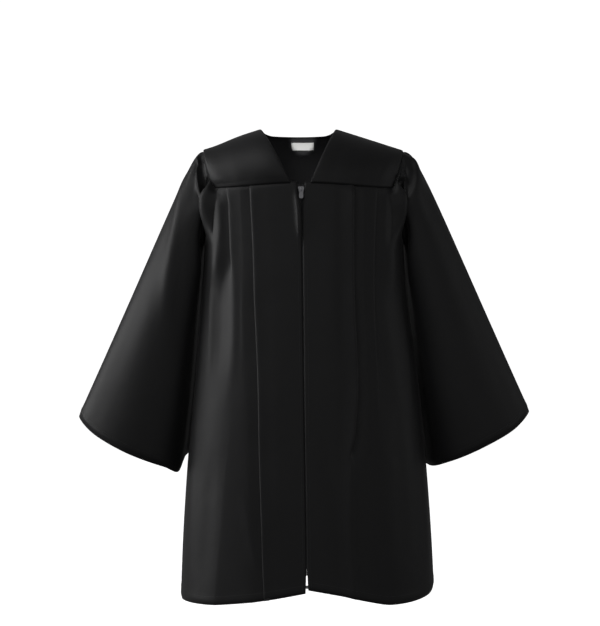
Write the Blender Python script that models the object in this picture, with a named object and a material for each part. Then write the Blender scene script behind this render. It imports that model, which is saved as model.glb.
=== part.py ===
"""Child's graduation gown: V neck, yoke, pleated fronts, zip and bell sleeves, hanging as if worn.

Metres, +Z up, the front faces -Y and +X is the right of the picture. The origin is at the base of
the neck, midway between the shoulder ends. Every cloth piece is a middle surface worked out on a
grid, and a Solidify modifier gives it its wall.
"""

import math

import bpy
import numpy as np

# Wall and clearances
WALL = 0.0012
SEAM = 0.00022  # each piece stops this far short of its seam, so two pieces lie about 0.4 mm apart
GAP = 0.0003  # between a piece and what lies on it
TOP_GAP = 0.0006  # the pleated tops of the fronts keep this far below the yoke seam
LAP = 0.0021  # the sleeve head starts this far inside the armhole edge that covers it

# Neck and shoulders
NECK_X = -0.0075
NECK_HALF = 0.054
NECK_BACK = 0.048
NECK_PEAK_Z = -0.001
NECK_BACK_DROP = 0.0055
NECK_DROP_DEGREES = (90, 42)  # round the back of the neck: the drop starts and is whole
NECK_ROUNDNESS = 0.8  # exponent of the neck's depth: 1 is an ellipse, less is fuller
SHOULDER_HALF = 0.143
SHOULDER_Z = -0.0315
UNDERARM_Z = -0.169
ARMHOLE_DEPTH = 0.044
YOKE_CORNER_Z = -0.089  # where the yoke seam meets the armhole
YOKE_CENTRE_Z = -0.0845
YOKE_SEAM_PLACES = (0.05, 0.6)  # the seam falls between these places on the section
YOKE_BOW_INNER = 0.12  # how far a line down the yoke bows from an ellipse, at the V and at the armhole
YOKE_BOW_OUTER = -0.20
VEE_LEFT = 0.0175  # from the middle of the chest to each yoke's inner corner
VEE_RIGHT = 0.0085

# Body sections: the outline seen from the front, and the depth seen from the side
SQUARENESS = 2.3  # exponent of the section: 2 is an ellipse, more is boxier
BODY_COLUMNS = ("z", "left", "right", "front", "back")
BODY = (
    (-0.080, -0.1410, 0.1410, 0.083, 0.074),
    (-0.120, -0.1415, 0.1420, 0.087, 0.077),
    (-0.169, -0.142, 0.1435, 0.091, 0.081),
    (-0.240, -0.146, 0.148, 0.096, 0.086),
    (-0.350, -0.154, 0.163, 0.103, 0.093),
    (-0.460, -0.1640, 0.1740, 0.109, 0.099),
    (-0.580, -0.1720, 0.1830, 0.115, 0.106),
    (-0.680, -0.1760, 0.1880, 0.119, 0.111),
)

# Hem height by place round the body: 0 is the middle of the front or back, 1 the side seam
HEM_COLUMNS = ("place", "left", "right")
FRONT_HEM = (
    (0.00, -0.6480, -0.6440),
    (0.22, -0.6580, -0.6540),
    (0.36, -0.6635, -0.6620),
    (0.50, -0.6680, -0.6675),
    (0.70, -0.6705, -0.6645),
    (0.88, -0.6710, -0.6565),
    (1.00, -0.6670, -0.6460),
)
BACK_HEM = (
    (0.00, -0.6520, -0.6520),
    (0.40, -0.6560, -0.6540),
    (0.75, -0.6630, -0.6530),
    (1.00, -0.6670, -0.6460),
)

# Zip line down the front, and the half gap between the two front edges
ZIP_COLUMNS = ("z", "x", "half_gap")
ZIP = (
    (-0.080, -0.0036, 0.0050),
    (-0.100, -0.0033, 0.0049),
    (-0.112, -0.0030, 0.0026),
    (-0.130, -0.0025, 0.0013),
    (-0.400, 0.0010, 0.0012),
    (-0.600, 0.0040, 0.0013),
    (-0.650, 0.0045, 0.0017),
)

# Knife pleats: distance of the fold edge from the middle of the front, down its length.
# loose is 0 where the pleat is pressed flat and 1 where it has opened into a soft wave.
PLEAT_COLUMNS = ("z", "edge", "loose")
PLEATS = {
    "left": (
        (
            (-0.086, 0.0745, 0.0),
            (-0.200, 0.0720, 0.15),
            (-0.340, 0.0730, 0.45),
            (-0.450, 0.0680, 0.35),
            (-0.560, 0.0650, 0.40),
            (-0.665, 0.0620, 0.50),
        ),
        (
            (-0.086, 0.1120, 0.0),
            (-0.115, 0.1070, 0.05),
            (-0.180, 0.1075, 0.35),
            (-0.260, 0.1100, 0.85),
            (-0.400, 0.1150, 1.0),
            (-0.665, 0.1270, 1.0),
        ),
    ),
    "right": (
        (
            (-0.086, 0.0690, 0.0),
            (-0.200, 0.0700, 0.10),
            (-0.350, 0.0715, 0.25),
            (-0.440, 0.0640, 0.55),
            (-0.540, 0.0600, 0.40),
            (-0.665, 0.0655, 0.40),
        ),
        (
            (-0.086, 0.1040, 0.0),
            (-0.160, 0.1010, 0.15),
            (-0.230, 0.1000, 0.60),
            (-0.320, 0.1020, 1.0),
            (-0.450, 0.1080, 1.0),
            (-0.665, 0.1180, 1.0),
        ),
    ),
}
PLEAT_UNDER = 0.011  # how far the cloth runs back under its fold edge
PLEAT_STEP = 0.0018  # from one layer's middle to the next
PLEAT_TAIL = 0.015  # where a pressed layer has come back to the section
OPEN_RISE = 0.0050  # how far an opened pleat stands proud of the section

# Section of a pleat walking outwards. Pressed: tails, unders and steps count the sizes above, extra is
# in metres. Opened: open_tails counts tails, open_rise counts the rise.
FOLD_COLUMNS = ("tails", "unders", "extra", "steps", "open_tails", "open_rise")
FOLD = (
    (-1.00, 0.0, 0.0, 0.00, -1.00, 0.00),
    (-0.50, 0.0, 0.0, 0.50, -0.60, 0.45),
    (0.00, 0.0, -0.0022, 1.00, -0.25, 0.94),
    (0.00, 0.0, 0.0000, 0.50, -0.06, 0.98),
    (0.00, 0.0, -0.0020, 0.00, 0.08, 0.70),
    (0.00, -1.0, 0.0020, 0.00, 0.16, 0.35),
    (0.00, -1.0, 0.0000, -0.50, 0.26, -0.06),
    (0.00, -1.0, 0.0022, -1.00, 0.38, -0.36),
    (0.00, 0.0, -0.0010, -1.00, 0.60, -0.42),
    (0.50, 0.0, 0.0, -0.50, 0.80, -0.22),
    (1.00, 0.0, 0.0, 0.00, 1.00, 0.00),
)

# Roll of the front's outer edge over the armhole seam: towards the sleeve and forwards of the seam
ROLL_COLUMNS = ("outward", "forward")
EDGE_ROLL = (
    (-0.0060, 0.0085),
    (0.0020, 0.0080),
    (0.0075, 0.0070),
    (0.0102, 0.0054),
    (0.0098, 0.0040),
    (0.0070, 0.0030),
    (0.0035, 0.0018),
    (0.0000, 0.0000),
)
ROLL_FULL_Z = -0.092
ROLL_GONE_Z = -0.158
ROLL_OPENS = 0.03  # share of the front's fall over which the roll opens out below the yoke seam
ROLL_AT_SEAM = 0.35  # share of its depth that it has at the yoke seam

# Folds of the back: gathers at the yoke that run into fewer, deeper folds at the hem
BACK_GATHERS = 10
BACK_FOLDS = 6
GATHER_HEIGHT = 0.0024
BACK_FOLD_HEIGHT = 0.0080
GATHER_Z = (-0.100, -0.300)  # full above the first, gone below the second
BACK_FOLD_Z = (-0.100, -0.450)  # starts at the first, full below the second
BACK_FOLD_PHASE = 0.4
SIDE_QUIET = 0.82  # beyond this share of the way to its side edge the back smooths out

# Cuffs: a ring for each sleeve, from the tip round the front to the inner corner and back
CUFF_COLUMNS = ("degrees", "x", "y", "z")
CUFF = {
    "left": (
        (0, -0.322, 0.002, -0.413),
        (45, -0.300, -0.030, -0.4360),
        (90, -0.252, -0.043, -0.4620),
        (135, -0.202, -0.026, -0.4830),
        (160, -0.182, -0.004, -0.4920),
        (180, -0.172, 0.026, -0.4740),
        (215, -0.161, 0.064, -0.464),
        (270, -0.222, 0.074, -0.452),
        (315, -0.290, 0.047, -0.431),
    ),
    "right": (
        (0, 0.3240, 0.002, -0.406),
        (45, 0.3005, -0.030, -0.4300),
        (90, 0.256, -0.043, -0.4540),
        (135, 0.212, -0.028, -0.4750),
        (160, 0.192, -0.002, -0.4840),
        (180, 0.182, 0.030, -0.4860),
        (215, 0.174, 0.066, -0.4720),
        (270, 0.234, 0.074, -0.446),
        (315, 0.297, 0.047, -0.424),
    ),
}

# Sleeve paths from the armhole to the cuff, by place round the sleeve: the two handles of a curve,
# measured from the armhole. narrow is how far the first handle draws in towards the armhole's middle.
PATH_COLUMNS = ("degrees", "out_1", "narrow_1", "down_1", "out_2", "forward_2", "down_2")
PATHS = (
    (0, 0.021, 0.000, 0.003, 0.043, 0.002, 0.070),
    (45, 0.020, 0.003, 0.004, 0.036, 0.006, 0.070),
    (90, 0.021, 0.009, 0.000, 0.034, 0.004, 0.060),
    (135, 0.018, 0.011, 0.000, 0.023, -0.006, 0.050),
    (180, 0.008, 0.002, 0.000, 0.002, -0.040, 0.060),
    (200, 0.010, 0.004, 0.000, -0.004, -0.052, 0.060),
    (225, 0.023, 0.021, 0.000, 0.002, -0.030, 0.052),
    (270, 0.021, 0.006, 0.000, 0.034, -0.008, 0.065),
    (315, 0.020, 0.000, 0.004, 0.036, -0.010, 0.075),
)

# How much further out the top of each sleeve runs: the first handle, the second handle
TOP_SHIFT = {"left": (0.000, -0.004), "right": (0.004, 0.001)}

# Folds of the sleeves that follow the armhole: distance down the sleeve, width, height
HEAD_FOLD_COLUMNS = ("side", "centre_degrees", "spread_degrees", "down", "width", "height")
HEAD_FOLDS = (
    ("left", 85, 78, 0.30, 0.075, 0.0110),
    ("left", 272, 78, 0.28, 0.080, 0.0090),
    ("right", 70, 62, 0.34, 0.080, 0.0095),
    ("right", 275, 75, 0.28, 0.080, 0.0090),
)
HEAD_FOLD_ENDS = 0.25  # at its ends a fold lies this share as far down as at its middle
HEAD_GATHERS = 17  # round the whole sleeve; only those of the upper part are drawn up
HEAD_GATHER_HEIGHT = 0.0017
HEAD_GATHER_REACH = 115  # degrees either side of the top
HEAD_GATHER_FADE = 0.75  # share of that reach where they start to fade
HEAD_GATHER_DOWN = (0.045, 0.12, 0.36)  # shares down the sleeve: full height from, fading from, gone at
BELL_WAVES = 5
BELL_WAVE_HEIGHT = 0.0030
BELL_PHASE = 0.6
BELL_FROM = 0.3  # share down the sleeve where the waves start
BELL_DEGREES = (95, 135)  # either side of the top: full up to the first, gone at the second

# Grids
ARMHOLE_ROWS = (0.0, 0.10, 0.24, 0.42, 0.60, 0.75, 0.87, 0.95, 0.985, 1.0)  # shares of the armhole's fall
FLAT_SPANS = 4  # columns between the zip edge and the first pleat
FRONT_ROWS = (0.06, 0.15, 0.27, 0.41, 0.56, 0.71, 0.86, 1.0)  # shares of the way from the armhole to the hem
BACK_ROWS = (0.08, 0.20, 0.36, 0.55, 0.77, 1.0)
BACK_LINES = 51
SLEEVE_ROWS = (0.0, 0.02, 0.045, 0.075, 0.105, 0.14, 0.19, 0.26, 0.36, 0.50, 0.66, 0.83, 1.0)
SLEEVE_FINE_STEP = 5.5  # degrees, where the head is gathered
SLEEVE_COARSE_STEP = 11.5
YOKE_ROWS = 9
YOKE_SPANS = 8
NECK_SHARE = 0.42  # share of the back yoke's top edge that goes round the neck

# Zip
TAPE_WIDTH = 0.0115
TAPE_WALL = 0.0010
TAPE_GAP = 0.0002
TAPE_TOP_Z = -0.0865
TAPE_MEET_Z = -0.100  # the tapes come together below the slider
TAPE_POST_GAP = 0.0004
TAPE_SPANS = 3
TAPE_END_Z = -0.6374
TAPE_SLIT_Z = -0.6250  # below this the tapes part, and the slit shows
TAPE_SLIT_HALF = 0.0015
SLIDER_Z = -0.0940
SLIDER_WIDTH = 0.0084
SLIDER_LENGTH = 0.0095
SLIDER_PLATE = 0.0014
SLIDER_BACK = 0.0010
SLIDER_POST = 0.0014
POST_LOW = 0.0018  # the post's ends, from the slider's middle
POST_HIGH = 0.0045
JOIN = 0.0005  # joined boxes overlap this much
CUT = 0.0001  # and their faces keep this far from lying on each other
BAIL_WIDTH = 0.0014
BAIL_WALL = 0.0012
BAIL_TOP = 0.0032
BAIL_FOOT = 0.0024
BAIL_CLEAR = 0.0022
PIVOT_UP = 0.0004
PIVOT_OUT = 0.00125
BAR_HALF = 0.00055
PULL_HALF = 0.0023
RAIL_WIDTH = 0.0010
RAIL_LENGTH = 0.0042
TAB_LENGTH = 0.0088
TAB_HALF_WIDTH = 0.0030
TAB_WALL = 0.0010
BOX_WIDTH = 0.0080
BOX_HEIGHT = 0.0042
BOX_DEPTH = 0.0020
BOX_BEVEL = 0.0003

# Label
LABEL_X = -0.001
LABEL_WIDTH = 0.033
LABEL_TOP = 0.255  # share of the way down the back yoke
LABEL_BOTTOM = 0.465
LABEL_WALL = 0.0010
LABEL_SPANS = (6, 3)  # across, down

COLOURS = {
    "cloth": ((0.012, 0.012, 0.013), 0.45, 0.0),
    "zip_tape": ((0.016, 0.016, 0.017), 0.80, 0.0),
    "zip_metal": ((0.16, 0.16, 0.17), 0.35, 1.0),
    "label": ((0.86, 0.86, 0.84), 0.75, 0.0),
}


def column(rows, names, name):
    """One named column of a table."""
    at = names.index(name)
    return np.array([row[at] for row in rows], float)


def smooth(places, values, at, steady=True):
    """Cubic curve through values at places.

    Each slope is the one between its two neighbours. A steady curve never swings past its values:
    where the steps either side differ, its slope is the gentler one's, or 0 at a turn.
    """
    places, values = np.asarray(places, float), np.asarray(values, float)
    slopes = np.gradient(values, places)
    if steady:
        steps = np.diff(values) / np.diff(places)
        before, after = np.r_[steps[:1], steps], np.r_[steps, steps[-1:]]
        limit = 2 * np.minimum(np.abs(before), np.abs(after))
        slopes = np.where(before * after > 0, np.sign(slopes) * np.minimum(np.abs(slopes), limit), 0.0)
    at = np.clip(at, places[0], places[-1])
    i = np.clip(np.searchsorted(places, at, side="right") - 1, 0, len(places) - 2)
    gap = places[i + 1] - places[i]
    t = (at - places[i]) / gap
    first = values[i] * (1 + 2 * t) * (1 - t) ** 2 + slopes[i] * gap * t * (1 - t) ** 2
    second = values[i + 1] * t * t * (3 - 2 * t) - slopes[i + 1] * gap * t * t * (1 - t)
    return first + second


def down_table(rows, names, name, z):
    """A column of a table whose first column falls, read at height z."""
    return smooth(-column(rows, names, "z"), column(rows, names, name), -np.asarray(z, float))


def round_table(rows, names, name, degrees):
    """A column of a table of angles, read as a closed ring."""
    angles = column(rows, names, "degrees")
    values = column(rows, names, name)
    angles = np.concatenate([angles[-2:] - 360, angles, angles[:2] + 360])
    values = np.concatenate([values[-2:], values, values[:2]])
    return smooth(angles, values, np.mod(degrees, 360), steady=False)


def ease(low, high, value):
    """0 below low, 1 above high, and a smooth step between; low may be the larger one."""
    t = np.clip((np.asarray(value, float) - low) / (high - low), 0, 1)
    return t * t * (3 - 2 * t)


# Angle of the section by its share of the way from the middle to the side, from a typical section
TYPICAL_WIDTH, TYPICAL_DEPTH = 0.150, 0.095
quarter_turn = np.linspace(0, math.pi / 2, 400)
typical_x = TYPICAL_WIDTH * np.sin(quarter_turn) ** (2 / SQUARENESS)
typical_y = TYPICAL_DEPTH * np.cos(quarter_turn) ** (2 / SQUARENESS)
walked = np.concatenate([[0], np.cumsum(np.hypot(np.diff(typical_x), np.diff(typical_y)))])
PLACES = walked / walked[-1]
QUARTER_SHARE = walked[-1] / (TYPICAL_WIDTH + TYPICAL_DEPTH)


def half_width(z, side):
    return abs(down_table(BODY, BODY_COLUMNS, side, z) - middle(z))


def middle(z):
    """X of the middle of the body's section."""
    left = down_table(BODY, BODY_COLUMNS, "left", z)
    return (left + down_table(BODY, BODY_COLUMNS, "right", z)) / 2


def quarter_length(z, side, face):
    """Distance round the section from its middle to the side seam."""
    return QUARTER_SHARE * (half_width(z, side) + down_table(BODY, BODY_COLUMNS, face, z))


def section(place, z, side, face, out=0.0):
    """Point of the body's section: place runs from 0 at the middle to 1 at the side seam.

    The section is a superellipse of the tables' width and depth. out moves the point along its
    outward normal.
    """
    sign = -1.0 if side == "left" else 1.0
    forward = -1.0 if face == "front" else 1.0
    place, z = np.broadcast_arrays(np.asarray(place, float), np.asarray(z, float))
    angle = np.interp(np.abs(place), PLACES, quarter_turn)
    wide, deep = half_width(z, side), down_table(BODY, BODY_COLUMNS, face, z)
    x = wide * np.sin(angle) ** (2 / SQUARENESS)
    y = deep * np.cos(angle) ** (2 / SQUARENESS)
    normal_x = (x / wide) ** (SQUARENESS - 1) / wide
    normal_y = (y / deep) ** (SQUARENESS - 1) / deep
    size = np.hypot(normal_x, normal_y)
    across = np.sign(place) + (place == 0)
    x = (x + out * normal_x / size) * across
    y = y + out * normal_y / size
    return np.stack([middle(z) + sign * x, forward * y, z], axis=-1)


def place_of_depth(y, z, side, face):
    """Place on the section whose distance from the side plane is y."""
    share = np.clip(np.abs(y) / down_table(BODY, BODY_COLUMNS, face, z), 0, 1)
    return np.interp(np.arccos(share ** (SQUARENESS / 2)), quarter_turn, PLACES)


def armhole_low(q, side, face):
    """Lower armhole on the body's section: from the yoke's corner (q=0) to the underarm (q=1).

    Seen from the side it is a quarter ellipse.
    """
    q = np.asarray(q, float)
    y = ARMHOLE_DEPTH * np.cos(q * math.pi / 2)
    z = YOKE_CORNER_Z + (UNDERARM_Z - YOKE_CORNER_Z) * np.sin(q * math.pi / 2)
    return section(place_of_depth(y, z, side, face), z, side, face)


def armhole_at(z, side, face):
    """Point of the lower armhole at height z."""
    share = np.clip((YOKE_CORNER_Z - np.asarray(z, float)) / (YOKE_CORNER_Z - UNDERARM_Z), 0, 1)
    return armhole_low(np.arcsin(share) * 2 / math.pi, side, face)


def shoulder_line(share, side):
    """Shoulder seam from the neck (0) to the sleeve (1)."""
    sign = -1.0 if side == "left" else 1.0
    start = NECK_X + sign * NECK_HALF
    share = np.asarray(share, float)
    x = start + (sign * SHOULDER_HALF - start) * share
    z = NECK_PEAK_Z + (SHOULDER_Z - NECK_PEAK_Z) * share
    return np.stack([x, np.zeros_like(x), z], axis=-1)


def yoke_seam_z(place):
    """Height of the seam between yoke and panel, by place on the section."""
    return YOKE_CENTRE_Z + (YOKE_CORNER_Z - YOKE_CENTRE_Z) * ease(*YOKE_SEAM_PLACES, np.abs(place))


def yoke_front(across, down, side):
    """Front yoke: across from the V edge to the armhole, down from the shoulder seam to the yoke seam.

    Each line down is a quarter ellipse, level at the shoulder and plumb at the yoke seam.
    """
    inner = (VEE_LEFT if side == "left" else VEE_RIGHT) / quarter_length(YOKE_CENTRE_Z, side, "front")
    outer = place_of_depth(ARMHOLE_DEPTH, YOKE_CORNER_Z, side, "front")
    place = inner + (outer - inner) * across
    low = section(place, yoke_seam_z(place), side, "front")
    top = shoulder_line(across, side)
    fall = 1 - np.cos(down * math.pi / 2)
    bow = YOKE_BOW_INNER + (YOKE_BOW_OUTER - YOKE_BOW_INNER) * across
    x = top[..., 0] + (low[..., 0] - top[..., 0]) * (fall + bow * fall * (1 - fall))
    y = low[..., 1] * np.sin(down * math.pi / 2)
    z = top[..., 2] + (low[..., 2] - top[..., 2]) * fall
    return np.stack([x, y, z], axis=-1)


def back_top(across):
    """Top edge of the back yoke, -1 to 1: shoulder seam, round the back of the neck, shoulder seam."""
    across = np.asarray(across, float)
    share = np.clip(np.abs(across), 0, 1)
    turn = np.clip(share / NECK_SHARE, 0, 1) * math.pi / 2
    side_sign = np.where(across < 0, -1.0, 1.0)
    x_neck = NECK_X + side_sign * NECK_HALF * np.sin(turn)
    y_neck = NECK_BACK * np.cos(turn) ** NECK_ROUNDNESS
    z_neck = NECK_PEAK_Z - NECK_BACK_DROP * ease(*NECK_DROP_DEGREES, np.degrees(turn))
    out = np.clip((share - NECK_SHARE) / (1 - NECK_SHARE), 0, 1)
    left, right = shoulder_line(out, "left"), shoulder_line(out, "right")
    line = np.where((across < 0)[..., None], left, right)
    on_neck = share < NECK_SHARE
    return np.stack(
        [
            np.where(on_neck, x_neck, line[..., 0]),
            np.where(on_neck, y_neck, 0.0),
            np.where(on_neck, z_neck, line[..., 2]),
        ],
        axis=-1,
    )


def yoke_back(across, down):
    """Back yoke: across from -1 at the left armhole to 1 at the right, down to its seam."""
    across, down = np.broadcast_arrays(np.asarray(across, float), np.asarray(down, float))
    low = np.empty(across.shape + (3,))
    for side, mask in (("left", across < 0), ("right", across >= 0)):
        outer = place_of_depth(ARMHOLE_DEPTH, YOKE_CORNER_Z, side, "back")
        place = np.abs(across[mask]) * outer
        low[mask] = section(place, yoke_seam_z(place), side, "back")
    top = back_top(across)
    fall = 1 - np.cos(down * math.pi / 2)
    bow = YOKE_BOW_OUTER * ease(0.5, 1.0, np.abs(across))
    x = top[..., 0] + (low[..., 0] - top[..., 0]) * (fall + bow * fall * (1 - fall))
    y = top[..., 1] + (low[..., 1] - top[..., 1]) * np.sin(down * math.pi / 2)
    z = top[..., 2] + (low[..., 2] - top[..., 2]) * fall
    return np.stack([x, y, z], axis=-1)


def zip_x(z):
    return down_table(ZIP, ZIP_COLUMNS, "x", z)


def panel_rows(side, lower_rows):
    """Share of the way down for each row of a panel, and the height of the row's outer end."""
    hem = FRONT_HEM[-1][HEM_COLUMNS.index(side)]
    underarm = (YOKE_CORNER_Z - UNDERARM_Z) / (YOKE_CORNER_Z - hem)
    below = underarm + (1 - underarm) * np.array(lower_rows)
    share = np.concatenate([underarm * np.array(ARMHOLE_ROWS), below])
    return share, YOKE_CORNER_Z + (hem - YOKE_CORNER_Z) * share


def panel_end(edge_z, side, face):
    """Place on the section where a panel ends: at the armhole's edge, and below it at the side seam."""
    seam = armhole_at(edge_z, side, face)
    return np.where(edge_z > UNDERARM_Z + 1e-6, place_of_depth(seam[..., 1], edge_z, side, face), 1.0)


def front_columns(side, share, z, end):
    """Distance round the section and distance out of it for each column of a front, for its rows.

    The columns run from the zip edge through the two pleats to the outer edge. share is how far down
    each row lies, z its height at the outer edge.
    """
    towards = -1.0 if side == "left" else 1.0
    length = quarter_length(z, side, "front")
    zip_z = YOKE_CENTRE_Z + (FRONT_HEM[0][HEM_COLUMNS.index(side)] - YOKE_CENTRE_Z) * share
    start = towards * (zip_x(zip_z) - middle(zip_z)) + down_table(ZIP, ZIP_COLUMNS, "half_gap", zip_z)
    end = end * length - SEAM
    along, out = [], []
    reached = start
    for rows in PLEATS[side]:
        edge = down_table(rows, PLEAT_COLUMNS, "edge", z)
        loose = np.clip(down_table(rows, PLEAT_COLUMNS, "loose", z), 0, 1)
        first = edge - PLEAT_TAIL
        for k in range(FLAT_SPANS if reached is start else 0):
            along.append(reached + (first - reached) * k / FLAT_SPANS)
            out.append(np.zeros_like(z))
        for row in FOLD:
            fold = dict(zip(FOLD_COLUMNS, row))
            pressed = fold["tails"] * PLEAT_TAIL + fold["unders"] * PLEAT_UNDER + fold["extra"]
            opened = fold["open_tails"] * PLEAT_TAIL
            along.append(edge + pressed + (opened - pressed) * loose)
            pressed_out = fold["steps"] * PLEAT_STEP
            out.append(pressed_out + (fold["open_rise"] * OPEN_RISE - pressed_out) * loose)
        reached = along[-1]
    return np.array(along), np.array(out), reached, end, length


def front_grid(side):
    """Middle surface of a front: rows fall from the yoke seam to the hem."""
    share, edge_z = panel_rows(side, FRONT_ROWS)
    along, out, reached, end, length = front_columns(side, share, edge_z, panel_end(edge_z, side, "front"))
    rolls = len(EDGE_ROLL)
    tail = np.array([reached + (end - reached) * (k + 1) / rolls for k in range(rolls)])
    along, out = np.concatenate([along, tail]), np.concatenate([out, np.zeros_like(tail)])
    place = along / length
    hem = smooth(column(FRONT_HEM, HEM_COLUMNS, "place"), column(FRONT_HEM, HEM_COLUMNS, side), np.abs(place))
    top = yoke_seam_z(place) - TOP_GAP
    z = top + (hem - top) * share
    points = section(place, z, side, "front", out)
    towards = -1.0 if side == "left" else 1.0
    roll = ease(ROLL_GONE_Z, ROLL_FULL_Z, z[-rolls:])[..., None]
    seam = armhole_at(z[-rolls:], side, "front")
    outward = column(EDGE_ROLL, ROLL_COLUMNS, "outward")[:, None]
    forward = column(EDGE_ROLL, ROLL_COLUMNS, "forward")[:, None]
    open_out = ease(0.0, ROLL_OPENS, share)
    rolled = seam.copy()
    rolled[..., 0] += towards * outward * open_out
    rolled[..., 1] -= forward * (ROLL_AT_SEAM + (1 - ROLL_AT_SEAM) * open_out)
    points[-rolls:] += (rolled - points[-rolls:]) * roll
    return points


def back_grid():
    """Middle surface of the back: gathers under the yoke run into deeper folds towards the hem."""
    across = np.linspace(-1, 1, BACK_LINES)
    points = np.empty((BACK_LINES, len(ARMHOLE_ROWS) + len(BACK_ROWS), 3))
    for side, mask in (("left", across < 0), ("right", across >= 0)):
        share, edge_z = panel_rows(side, BACK_ROWS)
        end = panel_end(edge_z, side, "back") - SEAM / quarter_length(edge_z, side, "back")
        part = np.abs(across[mask])[:, None]
        place = part * end[None, :]
        hem = smooth(column(BACK_HEM, HEM_COLUMNS, "place"), column(BACK_HEM, HEM_COLUMNS, side), place)
        top = yoke_seam_z(place) - SEAM
        z = top + (hem - top) * share[None, :]
        quiet = ease(1.0, SIDE_QUIET, part)
        turn = across[mask][:, None] * math.pi
        gather = np.sin(turn * BACK_GATHERS) * GATHER_HEIGHT * ease(GATHER_Z[1], GATHER_Z[0], z)
        deep = np.sin(turn * BACK_FOLDS + BACK_FOLD_PHASE) * BACK_FOLD_HEIGHT * ease(*BACK_FOLD_Z, z)
        points[mask] = section(place, z, side, "back", (gather + deep) * quiet)
    return points


def armhole_ring(degrees, side):
    """The whole armhole: 0 at the shoulder, 90 at the front yoke corner, 180 under the arm."""
    degrees = np.mod(np.asarray(degrees, float), 360)
    points = np.empty(degrees.shape + (3,))
    quarters = (
        (degrees <= 90, lambda d: yoke_front(np.ones_like(d), d / 90, side)),
        ((degrees > 90) & (degrees <= 180), lambda d: armhole_low((d - 90) / 90, side, "front")),
        ((degrees > 180) & (degrees <= 270), lambda d: armhole_low((270 - d) / 90, side, "back")),
        (degrees > 270, lambda d: yoke_back(np.full_like(d, -1.0 if side == "left" else 1.0), (360 - d) / 90)),
    )
    for mask, formula in quarters:
        points[mask] = formula(degrees[mask])
    return points


def sleeve_grid(side):
    """Middle surface of a sleeve: lines run from the armhole to the cuff, each a curve of two handles."""
    towards = -1.0 if side == "left" else 1.0
    fine = np.arange(-HEAD_GATHER_REACH, HEAD_GATHER_REACH, SLEEVE_FINE_STEP)
    coarse = np.arange(HEAD_GATHER_REACH, 360 - HEAD_GATHER_REACH, SLEEVE_COARSE_STEP)
    degrees = np.concatenate([fine, coarse])
    down = np.array(SLEEVE_ROWS)
    start = armhole_ring(degrees, side)
    centre_z = (SHOULDER_Z + UNDERARM_Z) / 2
    inward = np.stack([np.zeros_like(degrees), -start[:, 1], centre_z - start[:, 2]], axis=-1)
    inward = inward / np.linalg.norm(inward, axis=-1, keepdims=True)
    start = start + LAP * inward
    cuff = np.stack([round_table(CUFF[side], CUFF_COLUMNS, name, degrees) for name in "xyz"], axis=-1)
    handles = {name: round_table(PATHS, PATH_COLUMNS, name, degrees) for name in PATH_COLUMNS[1:]}
    near_top = np.clip(np.cos(np.radians(degrees)), 0, 1)
    handles["out_1"] = handles["out_1"] + TOP_SHIFT[side][0] * near_top
    handles["out_2"] = handles["out_2"] + TOP_SHIFT[side][1] * near_top
    level = np.stack([towards * handles["out_1"], 0 * degrees, -handles["down_1"]], axis=-1)
    first = start + level + inward * handles["narrow_1"][:, None]
    second = start + np.stack([towards * handles["out_2"], -handles["forward_2"], -handles["down_2"]], axis=-1)
    t = down[None, :, None]
    start, first, second, cuff = (p[:, None, :] for p in (start, first, second, cuff))
    points = start * (1 - t) ** 3 + first * 3 * t * (1 - t) ** 2 + second * 3 * t * t * (1 - t) + cuff * t ** 3
    normal = outward_normals(points, towards)
    turn = np.mod(degrees + 180, 360)[:, None] - 180
    full, fading, gone = HEAD_GATHER_DOWN
    drawn = ease(HEAD_GATHER_REACH, HEAD_GATHER_REACH * HEAD_GATHER_FADE, np.abs(turn))
    head = np.sin(np.radians(turn) * HEAD_GATHERS) * HEAD_GATHER_HEIGHT * drawn
    head = head * ease(0.0, full, down) * ease(gone, fading, down)
    bell = np.sin(np.radians(turn) * BELL_WAVES + BELL_PHASE) * BELL_WAVE_HEIGHT
    bell = bell * ease(BELL_FROM, 1.0, down) * ease(BELL_DEGREES[1], BELL_DEGREES[0], np.abs(turn))
    move = head + bell
    for row in HEAD_FOLDS:
        fold = dict(zip(HEAD_FOLD_COLUMNS, row))
        if fold["side"] == side:
            off = np.abs(np.mod(degrees[:, None] - fold["centre_degrees"] + 180, 360) - 180)
            off = np.minimum(off / fold["spread_degrees"], 1)
            place = fold["down"] * (HEAD_FOLD_ENDS + (1 - HEAD_FOLD_ENDS) * np.cos(off * math.pi / 2))
            swell = np.exp(-(((down - place) / fold["width"]) ** 2))
            move = move + fold["height"] * ease(1.0, 0.5, off) * swell
    return points + normal * move[..., None]


def outward_normals(points, towards):
    """Unit normals of a ring-like grid, away from its inside."""
    along = np.gradient(points, axis=1)
    round_it = np.roll(points, -1, axis=0) - np.roll(points, 1, axis=0)
    normal = np.cross(round_it, along) * towards
    return normal / np.linalg.norm(normal, axis=-1, keepdims=True)


def material(name):
    colour, roughness, metallic = COLOURS[name]
    made = bpy.data.materials.get(name) or bpy.data.materials.new(name)
    made.use_nodes = True
    shader = made.node_tree.nodes["Principled BSDF"]
    shader.inputs["Base Color"].default_value = (*colour, 1.0)
    shader.inputs["Roughness"].default_value = roughness
    shader.inputs["Metallic"].default_value = metallic
    return made


def own_material(obj, kind):
    """Each object has a material of its own, made from its kind's colour and finish."""
    made = material(kind).copy()
    made.name = f"{obj.name}_{kind}"
    obj.data.materials.append(made)


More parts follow.
